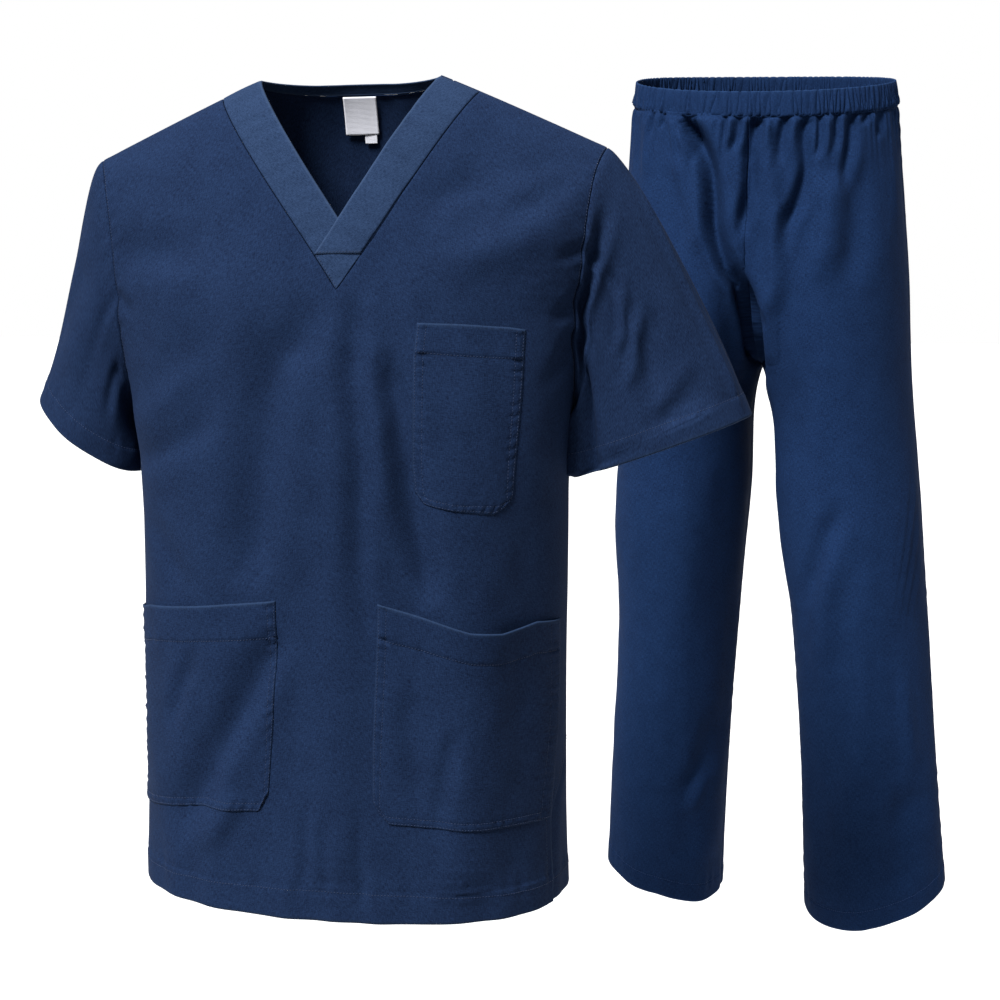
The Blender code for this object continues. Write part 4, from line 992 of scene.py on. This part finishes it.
def make_back_band():
    angle = np.linspace(-np.pi / 2, np.pi / 2, 91)[:, None]
    across = np.array([0, 0.06, 0.14, 0.26, 0.42, 0.58, 0.74, 0.86, 0.94, 1.0])[None, :]
    seam_level = float(level_at(BACK_SEAM_Z + 0.0003))
    half = BACK_SEAM_X + (NECK_X - BACK_SEAM_X) * across
    level = (seam_level + (BACK_EDGE_LEVEL - seam_level) * across) * np.cos(angle)
    theta = theta_at(half * np.sin(angle), level)
    points, outward = torso_cloth(np.pi - theta, level)
    from_seam = run_of(points, axis=1)
    edge = np.minimum(from_seam, from_seam[:, -1:] - from_seam)
    points = points - outward * rolled(edge, 0.0012)[..., None]
    uv = np.stack([run_of(points, axis=0), from_seam], -1)
    # both edges of the back band are painted lighter: rubbed dye and a painted highlight
    return add_cloth("neck_band_back", "tunic_band_cloth", points, outward, uv, edge_wear_and_highlight(edge), 0.0014)


def make_label(name, half_width, top_z, height, shift_x, bow):
    """A small patch inside the back of the neck. It hangs from its top edge, so it bows a little."""
    x = shift_x + half_width * np.linspace(-1, 1, 25)[None, :]
    down = np.linspace(0, 1, 25)[:, None]
    x, z = np.broadcast_arrays(x, top_z - height * down)
    level = level_at(z, x)
    points, outward = torso_cloth(np.pi - theta_at(x, level), level)
    sway = bow * np.sin(np.pi * np.linspace(0, 1, 25))[None, :] * down
    points = points - outward * (LABEL_INSET + sway)[..., None]
    uv = np.stack([x, z], -1)
    return add_cloth(name, "label_weave", points, -outward, uv, 0.0, 0.0006)


back_band = make_back_band()
label = make_label("label", 0.0165, BACK_SEAM_Z - 0.0003, 0.036, 0.0, 0.0006)
size_tab = make_label("size_tab", 0.006, BACK_SEAM_Z - 0.0366, 0.008, 0.00825, 0.0002)


# %% [markdown]
# ## Patch pockets
# A patch pocket is hemmed at the top, pressed under at the other edges and sewn on with two lines of
# stitching. Its outline is given by the places of its corners as seen from the front. The pocket's
# cloth follows the front beneath it, creases and all, and its mouth hangs open a little.

# %% Pockets
Pocket = namedtuple("Pocket", "left right top bottom hem gape gape_at")
POCKETS = {
    "pocket_chest": Pocket(
        mm((80, -226), (77, -256), (77, -305), (77.5, -356), (80, -378), (88.5, -389.5)),
        mm((176, -233), (173.5, -280), (169, -335), (165.5, -384), (158, -393.5)),
        mm((80, -226), (115, -227.5), (160, -230.5), (176, -233)),
        mm((88.5, -389.5), (100, -392.5), (124, -397.5), (148, -401), (158, -393.5)),
        0.026, 0.001, 0.5),
    "pocket_left": Pocket(
        mm((46, -480), (45, -515), (41, -612), (41, -664), (49, -677)),
        mm((204.5, -509), (204, -600), (199.5, -700)),
        mm((46, -480), (88, -492), (126, -506), (152, -509), (184, -504), (204.5, -509)),
        mm((49, -677), (57, -686), (98, -690), (144, -695), (180, -697.5), (199.5, -700)),
        0.031, 0.009, 0.62),
    "pocket_right": Pocket(
        mm((-48.5, -479), (-48, -515), (-51, -590), (-57, -659), (-62.5, -669)),
        mm((-206, -506), (-206, -600), (-206, -698)),
        mm((-48.5, -479), (-94, -484), (-145, -491), (-180, -496), (-206, -506)),
        mm((-62.5, -669), (-68, -678.5), (-124, -680), (-170, -688), (-206, -698)),
        0.033, 0.004, 0.4),
}
POCKET_TURN = 0.0014     # the pocket's cloth with its turnings stands this far off the front
FIRST_STITCH, SECOND_STITCH, POCKET_EDGE, HEM_STITCH_END = 0.0020, 0.0085, 0.001, 0.003


def side_line(points, outer, count=400):
    """One side of a pocket in theta and level, evenly run; an outer one lies in the side seam."""
    line = smooth_line(points, count) if len(points) < 4 else points
    run = run_of(line)
    theta, level = place_of(*columns_at(np.linspace(0, run[-1], count), run, line).T)
    if outer:
        theta = np.full(count, np.sign(theta[0]) * np.pi / 2)
    return np.stack([theta, level], -1)


def make_pocket(name, pocket, seed):
    in_seam = name == "pocket_right"
    left, right = side_line(pocket.left, False), side_line(pocket.right, in_seam)
    top, bottom = side_line(pocket.top, False), side_line(pocket.bottom, False)
    wide = np.linalg.norm(pocket.top[0] - pocket.top[-1]) * (1.12 if in_seam else 1.0)
    high = np.linalg.norm(pocket.left[0] - pocket.left[-1])
    lines = (POCKET_EDGE, FIRST_STITCH, SECOND_STITCH)
    across_stops = lines + tuple(wide - inset for inset in lines[::-1])
    down_stops = (POCKET_EDGE, pocket.hem) + tuple(high - inset for inset in lines[::-1])
    u = paced_shares(wide, 0.0032, 0.0009, across_stops, 0.0022)
    v = paced_shares(high, 0.0032, 0.0009, down_stops, 0.0022)
    a, b, shares = u[None, :, None], v[:, None, None], np.linspace(0, 1, len(top))
    edges = ((1 - a) * columns_at(v, shares, left)[:, None] + a * columns_at(v, shares, right)[:, None]
             + (1 - b) * columns_at(u, shares, top)[None] + b * columns_at(u, shares, bottom)[None])
    corners = ((1 - b) * ((1 - a) * top[0] + a * top[-1]) + b * ((1 - a) * bottom[0] + a * bottom[-1]))
    place = edges - corners
    points, outward = torso_cloth(place[..., 0], place[..., 1])
    u, v = np.broadcast_arrays(u[None, :] * wide, v[:, None] * high)
    sides = np.minimum(u, wide - u)
    low = high - v
    sewn_edge = np.minimum(sides, low)
    height = POCKET_TURN - rolled(np.minimum(sewn_edge, v), 0.0013)
    height -= groove(sewn_edge - FIRST_STITCH) + groove(sewn_edge - SECOND_STITCH, 0.0003)
    turned_up = 1 - smooth_step(pocket.hem - 0.001, pocket.hem + 0.001, v)
    height += (0.0006 * turned_up - groove(v - pocket.hem)) * smooth_step(0, 0.006, sides)
    shape = np.sin(np.pi * np.clip(u / wide, 0, 1) ** (np.log(0.5) / np.log(pocket.gape_at)))
    height += pocket.gape * shape * np.clip(1 - v / (0.42 * high), 0, 1) ** 1.6
    height += 0.0012 * np.sin(np.pi * u / wide) * np.sin(np.pi * np.clip(v / high, 0, 1))
    edge_run = np.where(sides < low, v, u)
    puckers = pucker(seed, 0.00060, 0.0095, edge_run, sewn_edge - 0.006, 0.006)
    puckers += pucker(seed + 1, 0.00026, 0.015, u, v - pocket.hem, 0.008)
    height += puckers * smooth_step(0, 0.003, sewn_edge)
    points = points + outward * height[..., None]
    # The pocket's mouth, and faintly its sewn edges, are painted lighter: a painted highlight on the edges,
    # with some rubbed dye.
    wear = np.maximum(0.3 * edge_wear_and_highlight(sewn_edge), edge_wear_and_highlight(v))
    sign = np.sign(place[len(place) // 2, len(place[0]) // 2, 0])
    piece = add_cloth(name, "tunic_cloth", points, outward, np.stack([sign * u, -v], -1), wear, 0.0010)
    first_row = row_of(v[:, 0], 0.002)
    for inset in (FIRST_STITCH, SECOND_STITCH):
        left_c, right_c = row_of(u[0], inset), row_of(u[0], wide - inset)
        last_r = row_of(v[:, 0], high - inset)
        side_rows = np.linspace(first_row, last_r, 300)
        sew(tunic_sewn, points, outward, side_rows, left_c)
        sew(tunic_sewn, points, outward, last_r, np.linspace(left_c, right_c, 300))
        if not in_seam:
            sew(tunic_sewn, points, outward, side_rows, right_c)
    hem_columns = np.linspace(row_of(u[0], HEM_STITCH_END), row_of(u[0], wide - HEM_STITCH_END), 300)
    sew(tunic_sewn, points, outward, row_of(v[:, 0], pocket.hem), hem_columns)
    return piece


chest_pocket = make_pocket("pocket_chest", POCKETS["pocket_chest"], 61)
left_pocket = make_pocket("pocket_left", POCKETS["pocket_left"], 63)
right_pocket = make_pocket("pocket_right", POCKETS["pocket_right"], 65)
tunic_stitches = add_stitches("tunic_stitches", tunic_sewn, tunic_thread)


# %% [markdown]
# ## Trousers
# Pull-on trousers are four panels: each leg has a front and a back, joined at the outer seam, the
# inner seam and, above the crotch, the middle seam. They hang from a gathered waist, so folds start
# at the band and run down to the crotch and the knees. Each leg is a stack of ovals from a table.

# %% Trouser sizes
TROUSERS_AT, TROUSERS_TURN = np.array([0.404, 0.602, 0.036]), np.radians(-12)
SIDE_RISE, BACK_RISE = 0.004, 0.002
WAISTBAND_HEIGHT, WAIST_DIP, WAIST_LEAN, DIP_FADE_Z, WAIST_RADIUS = 0.031, 0.016, 0.020, -0.30, 0.154
CROTCH_Z, LEG_END_Z = -0.345, -1.021
LegRow = namedtuple("LegRow", "z outer inner centre_y half_depth squareness")
LEGS = {
    "left": [
        LegRow(0.000, 0.155, -0.164, 0.000, 0.115, 2.2),
        LegRow(-0.100, 0.165, -0.140, 0.000, 0.122, 2.2),
        LegRow(-0.220, 0.176, -0.078, 0.000, 0.128, 2.1),
        LegRow(CROTCH_Z, 0.184, 0.0004, -0.004, 0.120, 2.05),
        LegRow(-0.500, 0.200, 0.031, -0.012, 0.098, 2.0),
        LegRow(-0.640, 0.213, 0.046, -0.020, 0.084, 2.0),
        LegRow(-0.800, 0.2265, 0.0625, -0.028, 0.074, 2.0),
        LegRow(LEG_END_Z, 0.2475, 0.0740, -0.034, 0.066, 1.8),
    ],
    "right": [
        LegRow(0.000, 0.164, -0.155, 0.000, 0.115, 2.2),
        LegRow(-0.100, 0.171, -0.138, 0.000, 0.122, 2.2),
        LegRow(-0.220, 0.178, -0.078, 0.000, 0.128, 2.1),
        LegRow(CROTCH_Z, 0.181, 0.0004, 0.004, 0.120, 2.05),
        LegRow(-0.500, 0.183, 0.015, 0.012, 0.098, 2.0),
        LegRow(-0.640, 0.186, 0.027, 0.020, 0.086, 2.0),
        LegRow(-0.800, 0.192, 0.039, 0.028, 0.080, 2.0),
        LegRow(LEG_END_Z, 0.200, 0.050, 0.034, 0.076, 2.4),
    ],
}
Hem = namedtuple("Hem", "lift front inner")
HEMS = {"left": Hem(0.016, 0.028, 0.020), "right": Hem(0.0, 0.016, 0.022)}
TROUSER_HEM, HALF_LEG = 0.024, 0.26    # the second is about half the distance round a thigh
TROUSER_FRONT_FOLDS = folds(
    (23, 12, 30, 12, 6, (-84, -46), (-64, -74), (-50, -105), (-44, -140), (-39, -180), (-24, -222),
     (-7, -252), (3, -292), (4, -350)),
    (8, 24, 0, 35, 30, (-26, -228), (-12, -290), (-12, -350), (-20, -420)),
    (-5.5, 13, 0, 25, 20, (-98, -80), (-76, -122), (-62, -167), (-58, -212)),
    (11, 9, 20, 10, 25, (12, -44), (5, -60), (2, -90), (3, -125), (-2, -160), (-6, -190)),
    (10, 9.5, 10, 8, 30, (68, -44), (65, -70), (69, -108), (60, -146), (49, -172), (44, -230)),
    (-7, 13, 0, 15, 30, (26, -70), (34, -155), (38, -243), (28, -285)),
    (-8.5, 19, 15, 30, 30, (98, -105), (95, -167), (90, -245)),
    (4.2, 16, 0, 20, 35, (128, -90), (127, -180), (120, -260)),
    (-1.8, 4, 0, 10, 10, (-14, -190), (0, -230), (9, -261), (15, -312)),
    (3, 5, 0, 20, 30, (17, -268), (27, -296)),
    (-2.2, 6, 0, 20, 30, (160, -50), (167, -184)),
    (-3, 7, 0, 15, 40, (-136, -40), (-132, -120)),
    (-7, 110, 0, 10, 10, (-220, -560), (0, -540), (220, -550)),
    (6.2, 30, 0, 30, 45, (-12, -400), (-32, -509), (-44, -594), (-53, -704), (-66, -800)),
    (5.8, 16, 0, 30, 30, (-46, -780), (-62, -860), (-94, -918)),
    (-3.5, 7, 0, 30, 30, (-58, -872), (-78, -926)),
    (4, 16, 0, 30, 15, (-78, -920), (-84, -990)),
    (-6, 18, -10, 35, 35, (111, -530), (101, -636), (94, -750)),
    (6.4, 14, 0, 30, 30, (124, -492), (98, -562), (76, -640)),
    (-5, 26, 20, 25, 15, (144, -560), (154, -718), (148, -820), (118, -940)),
    (-3.4, 9, 0, 30, 30, (193, -700), (211, -835)),
    (6.4, 20, 0, 25, 20, (214, -850), (195, -912), (202, -990)),
    (3, 18, 0, 30, 30, (66, -340), (60, -400), (66, -480)),
    # short gathers under the waistband
    (7.2, 7, 10, 8, 45, (-80, -40), (-76, -60), (-68, -86), (-66, -108)),
    (3.9, 4.2, 10, 8, 45, (-28, -38), (-30, -80), (-31, -112)),
    (6.6, 6, 10, 8, 45, (-11, -44), (-13, -67), (-24, -97)),
    (7.5, 7.5, 10, 8, 45, (45, -42), (38, -78), (36, -116)),
    (6, 4.2, 10, 8, 45, (81, -38), (82, -78), (80, -98)),
    (5.1, 4.8, 10, 8, 45, (100, -38), (102, -90)),
    (8.1, 7, 10, 8, 45, (118, -36), (116, -78), (110, -140)),
    (5.1, 4.2, 10, 8, 45, (132, -36), (130, -58)),
    (5.4, 4.2, 10, 8, 45, (145, -36), (147, -72)),
    (5.1, 4, 10, 8, 45, (-108, -36), (-112, -60)),
    (4.5, 4, 10, 8, 45, (-124, -36), (-126, -68)),
    (-3.9, 4.5, 10, 8, 45, (-96, -48), (-90, -100)),
    (-4.2, 4, 10, 8, 45, (-22, -46), (-24, -88)),
    (-4.5, 5, 10, 8, 45, (24, -48), (22, -90)),
    (-4.2, 4, 10, 8, 45, (91, -46), (92, -96)),
)
TROUSER_BACK_FOLDS = folds(
    (8.5, 17, 10, 8, 20, (-80, -45), (-68, -160), (-26, -310)),
    (8.5, 17, -10, 8, 20, (76, -45), (70, -160), (30, -318)),
    (4.5, 9, 0, 5, 45, (-30, -40), (-34, -120)),
    (4.8, 9, 0, 5, 45, (22, -40), (28, -132)),
    (4.5, 9, 0, 5, 45, (118, -40), (120, -116)),
    (4.2, 9, 0, 5, 45, (-124, -40), (-122, -108)),
    (5.5, 20, 0, 30, 30, (-120, -380), (-112, -520), (-120, -690)),
    (5.5, 20, 0, 30, 30, (120, -390), (114, -530), (128, -710)),
    (-5.5, 24, 0, 25, 15, (-90, -600), (-108, -760), (-120, -950)),
    (-5.5, 24, 0, 25, 15, (100, -620), (124, -780), (142, -960)),
    (4, 12, 0, 30, 30, (-60, -420), (-84, -480), (-140, -520)),
    (4, 12, 0, 30, 30, (56, -430), (90, -500), (150, -530)),
)


# %% The trousers' form
def waist_drop(x, forward, z):
    """How far the waist's slanted top edge lowers a point; forward is 1 at the front, -1 at the back."""
    sides = (SIDE_RISE - 0.008 * x) * (1 - forward**2) + BACK_RISE * (1 - forward) / 2
    return (WAIST_DIP * forward + WAIST_LEAN * x - sides) * smooth_step(DIP_FADE_Z, 0, z)


def waist_point(theta, z):
    """The whole waist's ring at height z: theta 0 is the left side and pi/2 the middle front."""
    theta, z = np.broadcast_arrays(theta, z)
    columns = ("outer", "centre_y", "half_depth", "squareness")
    rings = [[table_curve(LEGS[leg], column, z) for column in columns] for leg in ("left", "right")]
    half_width, centre_y, depth, squareness = np.where(np.cos(theta) >= 0, *rings)
    x = half_width * signed_power(np.cos(theta), 2 / squareness)
    forward = signed_power(np.sin(theta), 2 / squareness)
    return np.stack([x, centre_y - depth * forward, z - waist_drop(x, forward, z)], -1)


def leg_point(leg, theta, z):
    """A leg's ring at height z: theta 0 is the outer side and pi the inner; x is from the middle."""
    rows, hem = LEGS[leg], HEMS[leg]
    theta, z = np.broadcast_arrays(theta, z)
    outer, inner = table_curve(rows, "outer", z), table_curve(rows, "inner", z)
    power = 2 / table_curve(rows, "squareness", z)
    x = (outer + inner) / 2 + (outer - inner) / 2 * signed_power(np.cos(theta), power)
    forward = signed_power(np.sin(theta), power)
    y = table_curve(rows, "centre_y", z) - table_curve(rows, "half_depth", z) * forward
    waist = waist_drop(x if leg == "left" else -x, forward, z)
    ankle = hem.front * forward - hem.inner * np.cos(theta) - hem.lift
    return np.stack([x, y, z - waist - ankle * smooth_step(CROTCH_Z, LEG_END_Z, z)], -1)


def leg_cut(rows, z):
    """Angle where a leg's ring reaches the middle: pi below the crotch."""
    outer, inner = table_curve(rows, "outer", z), table_curve(rows, "inner", z)
    ratio = np.clip((outer + inner) / (outer - inner), 0, 1)
    return np.pi - np.arccos(ratio ** (table_curve(rows, "squareness", z) / 2))


def waist_run(points):
    """Distance round the waist of a point of the form, from the left side over the front."""
    return WAIST_RADIUS * np.arctan2(-points[..., 1] / 0.118, points[..., 0] / 0.165)


def in_place(points, turn_only=False):
    """The trousers' own frame, turned and moved to where they hang."""
    c, s = np.cos(TROUSERS_TURN), np.sin(TROUSERS_TURN)
    turned = points @ np.array([[c, s, 0], [-s, c, 0], [0, 0, 1]])
    return turned if turn_only else turned + TROUSERS_AT


# %% The legs
trouser_sewn = []


def make_leg(face_name, leg, seed):
    """Half of a leg: columns from the outer seam to the middle or the inner seam."""
    side, face = (1 if leg == "left" else -1), (-1 if face_name == "front" else 1)
    top = -WAISTBAND_HEIGHT + 0.004
    z = np.concatenate([
        paced(np.array([top, CROTCH_Z]), np.array([0, top - CROTCH_Z]), 0.0034, 0.0016, (0.004,), 0.030),
        paced(np.array([CROTCH_Z, LEG_END_Z]), np.array([0, CROTCH_Z - LEG_END_Z]), 0.0044, FINE_STEP,
              (CROTCH_Z - LEG_END_Z, CROTCH_Z - LEG_END_Z - TROUSER_HEM))[1:]])[:, None]
    across = paced_shares(HALF_LEG, 0.0020 if face < 0 else 0.0038, 0.0012, (0, HALF_LEG), 0.002)
    theta = leg_cut(LEGS[leg], z) * across
    points = leg_point(leg, -face * theta, z)
    outward = normals_of(lambda a, b: leg_point(leg, a, b), -face * theta, z)
    points[..., 0] *= side
    outward[..., 0] *= side
    from_seam, down = run_of(points, axis=1), run_of(points, axis=0)
    to_middle, to_hem = from_seam[:, -1:] - from_seam, down[-1:] - down
    x, height = points[..., 0], points[..., 2]
    table = TROUSER_FRONT_FOLDS if face < 0 else TROUSER_BACK_FOLDS
    relief = fold_relief(table, x, height) * smooth_step(-0.004, 0.014, top - z)
    both = 81 if face < 0 else 101    # the same waves on both legs, so that they meet in the middle
    relief = relief + 0.0007 * waves(both, 0.09, 0.30, x, height)
    relief = relief + 0.00025 * waves(both + 1, 0.032, 0.08, x, height)
    relief = relief * smooth_step(0, 0.35, theta) * smooth_step(0, 0.35, np.pi - theta)
    run, below = waist_run(points), top - z
    short = 0.0009 * ripple(71, 0.0110, run) * np.exp(-below / 0.030) * smooth_step(0.004, 0.010, down)
    long = 0.0010 * ripple(73, 0.034, run) * np.exp(-below / 0.060) * smooth_step(0, 0.02, below)
    relief = relief + short + long
    relief = relief + rolled(np.minimum(from_seam, to_hem)) + rolled(to_middle, 0.0008) * (z < CROTCH_Z)
    relief = relief + hem_edge(to_hem, TROUSER_HEM) + 0.0013 * smooth_step(0.009, 0.003, down)
    from_seams = np.minimum(from_seam, to_middle)
    hem_pucker = pucker(seed + 2, 0.00035, 0.017, from_seam, to_hem - TROUSER_HEM, 0.010)
    hem_wave = 0.0006 * ripple(seed + 3, 0.060, from_seam) * smooth_step(0.10, 0, to_hem)
    relief = relief + (hem_pucker + hem_wave) * smooth_step(0, 0.012, from_seams)
    seam_pucker = pucker(both + 4, 0.00030, 0.024, down, from_seams, 0.010)
    relief = relief + seam_pucker * smooth_step(0, 0.004, np.minimum(from_seams, to_hem))
    points = points - outward * relief[..., None]
    joined = z[:, 0] > CROTCH_Z + 1e-6
    points[joined, -1, 0] = 0
    points, outward = in_place(points), in_place(outward, turn_only=True)
    name = f"trouser_{face_name}_{leg}"
    uv = np.stack([side * face * from_seam, -down], -1)
    # the hem's edge is painted lighter: rubbed dye and a painted highlight
    piece = add_cloth(name, "trouser_cloth", points, outward, uv, edge_wear_and_highlight(to_hem))
    columns = np.linspace(1, points.shape[1] - 2, 300)
    rows = [row_of(-to_hem[:, int(column)], -TROUSER_HEM) for column in columns]
    sew(trouser_sewn, points, outward, rows, columns)
    return piece


for face_name, leg, seed in (("front", "left", 81), ("front", "right", 91),
                             ("back", "left", 101), ("back", "right", 111)):
    make_leg(face_name, leg, seed)

# %% [markdown]
# ## Waistband
# The waist is a casing: a strip of cloth folded over wide elastic and sewn to the trousers. The elastic
# is shorter than the cloth, which gathers into dozens of small puffs all round. The strip is
# carried along its folded profile, up the outside, over the top and down the inside, and the gaps
# between the puffs deepen towards the seam.

# %% The waistband
ELASTIC, CASING_TOP, PUFF_DEPTH = 0.0026, 0.0022, 0.0105


def round_ripple(seed, low, high, angle, count=5):
    """As ripple, but with whole numbers of waves between low and high, so that it closes after a turn."""
    dice = np.random.default_rng(seed)
    total = 0.0
    for waves_round, phase in zip(dice.integers(low, high, count), dice.uniform(0, 6.28, count)):
        total = total + np.sin(waves_round * angle + phase)
    return total / np.sqrt(count / 2)


def make_waistband(count=1300):
    angle = np.linspace(0, 2 * np.pi, count, endpoint=False)[None, :]
    run = waist_run(waist_point(angle, np.zeros_like(angle)))
    z = np.concatenate([np.linspace(-WAISTBAND_HEIGHT, -CASING_TOP, 11), np.full(5, -CASING_TOP),
                        np.linspace(-CASING_TOP, -WAISTBAND_HEIGHT, 9)])[:, None]
    turn = np.concatenate([np.zeros(11), np.linspace(0, np.pi, 7)[1:-1], np.full(9, np.pi)])[:, None]
    base, outward = waist_point(angle, z), normals_of(waist_point, angle, z)
    inner_side = (1 - np.cos(turn)) / 2
    depth = np.clip(-z / WAISTBAND_HEIGHT, 0, 1)
    turns = run / WAIST_RADIUS
    spacing = 0.0088 + 0.0036 * smooth_step(0.10, 0.26, run) + 0.0012 * round_ripple(121, 7, 30, turns)
    order = np.argsort(run[0])
    count_to = np.zeros_like(run)
    count_to[0, order] = np.cumsum(np.gradient(run[0, order]) / spacing[0, order])
    count_to *= round(count_to.max()) / count_to.max()
    count_to = count_to + 0.28 * round_ripple(122, 9, 40, turns) * depth
    puff = np.abs(np.sin(np.pi * count_to)) ** (0.35 + 0.45 * depth)
    tight = 0.55 + 0.28 * round_ripple(123, 8, 34, turns) + 0.2 * smooth_step(0.25, 0.10, run)
    gap = np.clip(tight, 0.30, 1) * (1 - puff) * (0.35 + 0.65 * depth) * smooth_step(1.01, 0.93, depth)
    bulge = 0.0006 * np.sin(np.pi * depth) * (1 + round_ripple(124, 40, 90, turns))
    out = bulge - PUFF_DEPTH * gap - 0.0003 * smooth_step(0.90, 1.0, depth)
    offset = np.where(inner_side < 0.5, out, -ELASTIC - 0.7 * out) * np.abs(np.cos(turn))
    offset = offset + (1 - np.abs(np.cos(turn))) * (-ELASTIC / 2)
    points = base + outward * offset[..., None]
    points[..., 2] += (ELASTIC / 2 + 0.0012 * (puff - 0.6)) * np.sin(turn)
    facing = outward * np.cos(turn)[..., None] + np.array([0, 0, 1.0]) * np.sin(turn)[..., None]
    points, facing = in_place(points), in_place(facing, turn_only=True)
    uv = np.stack([np.broadcast_to(1.35 * (run + 0.5), points.shape[:2]), run_of(points, axis=0)], -1)
    # The folded top of the band and the puffs just below it are painted lighter: mostly a painted highlight
    # where they face the light, with some rubbed dye on the fold.
    wear = np.clip(0.9 * np.sin(turn) + 0.5 * puff * smooth_step(0.25, 0.0, depth), 0, 1)
    piece = add_cloth("waistband", "trouser_cloth", points, facing, uv, wear, 0.0008, wrap=True)
    return piece


waistband = make_waistband()
trouser_stitches = add_stitches("trouser_stitches", trouser_sewn, trouser_thread)

# %% [markdown]
# ## Studio
# Clothes for a catalogue are lit by one large soft light from the upper left, against paper so bright
# that it turns pure white. The floor is pale matt paper well below the hems, so no shadow shows. The
# world is white behind the clothes and dimmer in front of them, as an open studio is.

# %% Floor, lights and world
FLOOR_Z, FLOOR_HALF_WIDTH, FLOOR_FRONT, FLOOR_BACK = -1.9, 16.0, -0.8, 29.2
floor_mesh = bpy.data.meshes.new("studio_floor")
floor_x, floor_y = np.meshgrid(np.linspace(-FLOOR_HALF_WIDTH, FLOOR_HALF_WIDTH, 9),
                               np.linspace(FLOOR_FRONT, FLOOR_BACK, 9))
floor_points = np.stack([floor_x, floor_y, np.full_like(floor_x, FLOOR_Z)], -1).reshape(-1, 3)
floor_quads = grid_quads(np.arange(81).reshape(9, 9))
floor_mesh.from_pydata(floor_points.tolist(), [], floor_quads.tolist())
floor = bpy.data.objects.new("studio_floor", floor_mesh)
bpy.context.scene.collection.objects.link(floor)
paper, paper_tree, paper_shader = start_material("matt background paper, coated white", 0.9, 0.0, "#FFFFFF")
grain = noise(paper_tree, (node(paper_tree, "ShaderNodeTexCoord"), "Object"), 6.0, 3.0)
tint = blend(paper_tree, (grain, 0), linear("#BEBEBE"), linear("#C6C6C6"))
paper_tree.links.new(tint.outputs[2], paper_shader.inputs["Base Color"])
floor_mesh.materials.append(paper)


def add_light(name, kind, energy, location, aim, **settings):
    data = bpy.data.lights.new(name, kind)
    data.energy = energy
    for key, value in settings.items():
        setattr(data, key, value)
    light = bpy.data.objects.new(name, data)
    light.location = location
    away = np.subtract(location, aim)
    flat = np.hypot(away[0], away[1])
    light.rotation_euler = (np.arctan2(flat, away[2]), 0, np.arctan2(away[0], -away[1]))
    bpy.context.scene.collection.objects.link(light)
    return light


add_light("key_light", "SUN", 7.6, (-1.22, -1.86, 2.25), (0, 0, -0.4), angle=np.radians(16))

world = bpy.data.worlds.new("studio")
world.use_nodes = True
bpy.context.scene.world = world
sky = world.node_tree
direction = node(sky, "ShaderNodeTexCoord")
split = node(sky, "ShaderNodeSeparateXYZ", None, {0: (direction, "Generated")})
behind = node(sky, "ShaderNodeMapRange", {"interpolation_type": "SMOOTHSTEP"},
              {"Value": (split, "Y"), "From Min": 0.75, "From Max": 0.93, "To Min": 0.26, "To Max": 1.0})
above = node(sky, "ShaderNodeMapRange", {"interpolation_type": "SMOOTHSTEP"},
             {"Value": (split, "Z"), "From Min": 0.45, "From Max": 1.00, "To Min": 0.0, "To Max": 1.6})
brighter = node(sky, "ShaderNodeMath", {"operation": "MAXIMUM"}, {0: (behind, 0), 1: (above, 0)})
sky.links.new(brighter.outputs[0], sky.nodes["Background"].inputs["Strength"])
sky.nodes["Background"].inputs["Color"].default_value = (1, 1, 1, 1)
bpy.context.scene.view_settings.view_transform = "Standard"
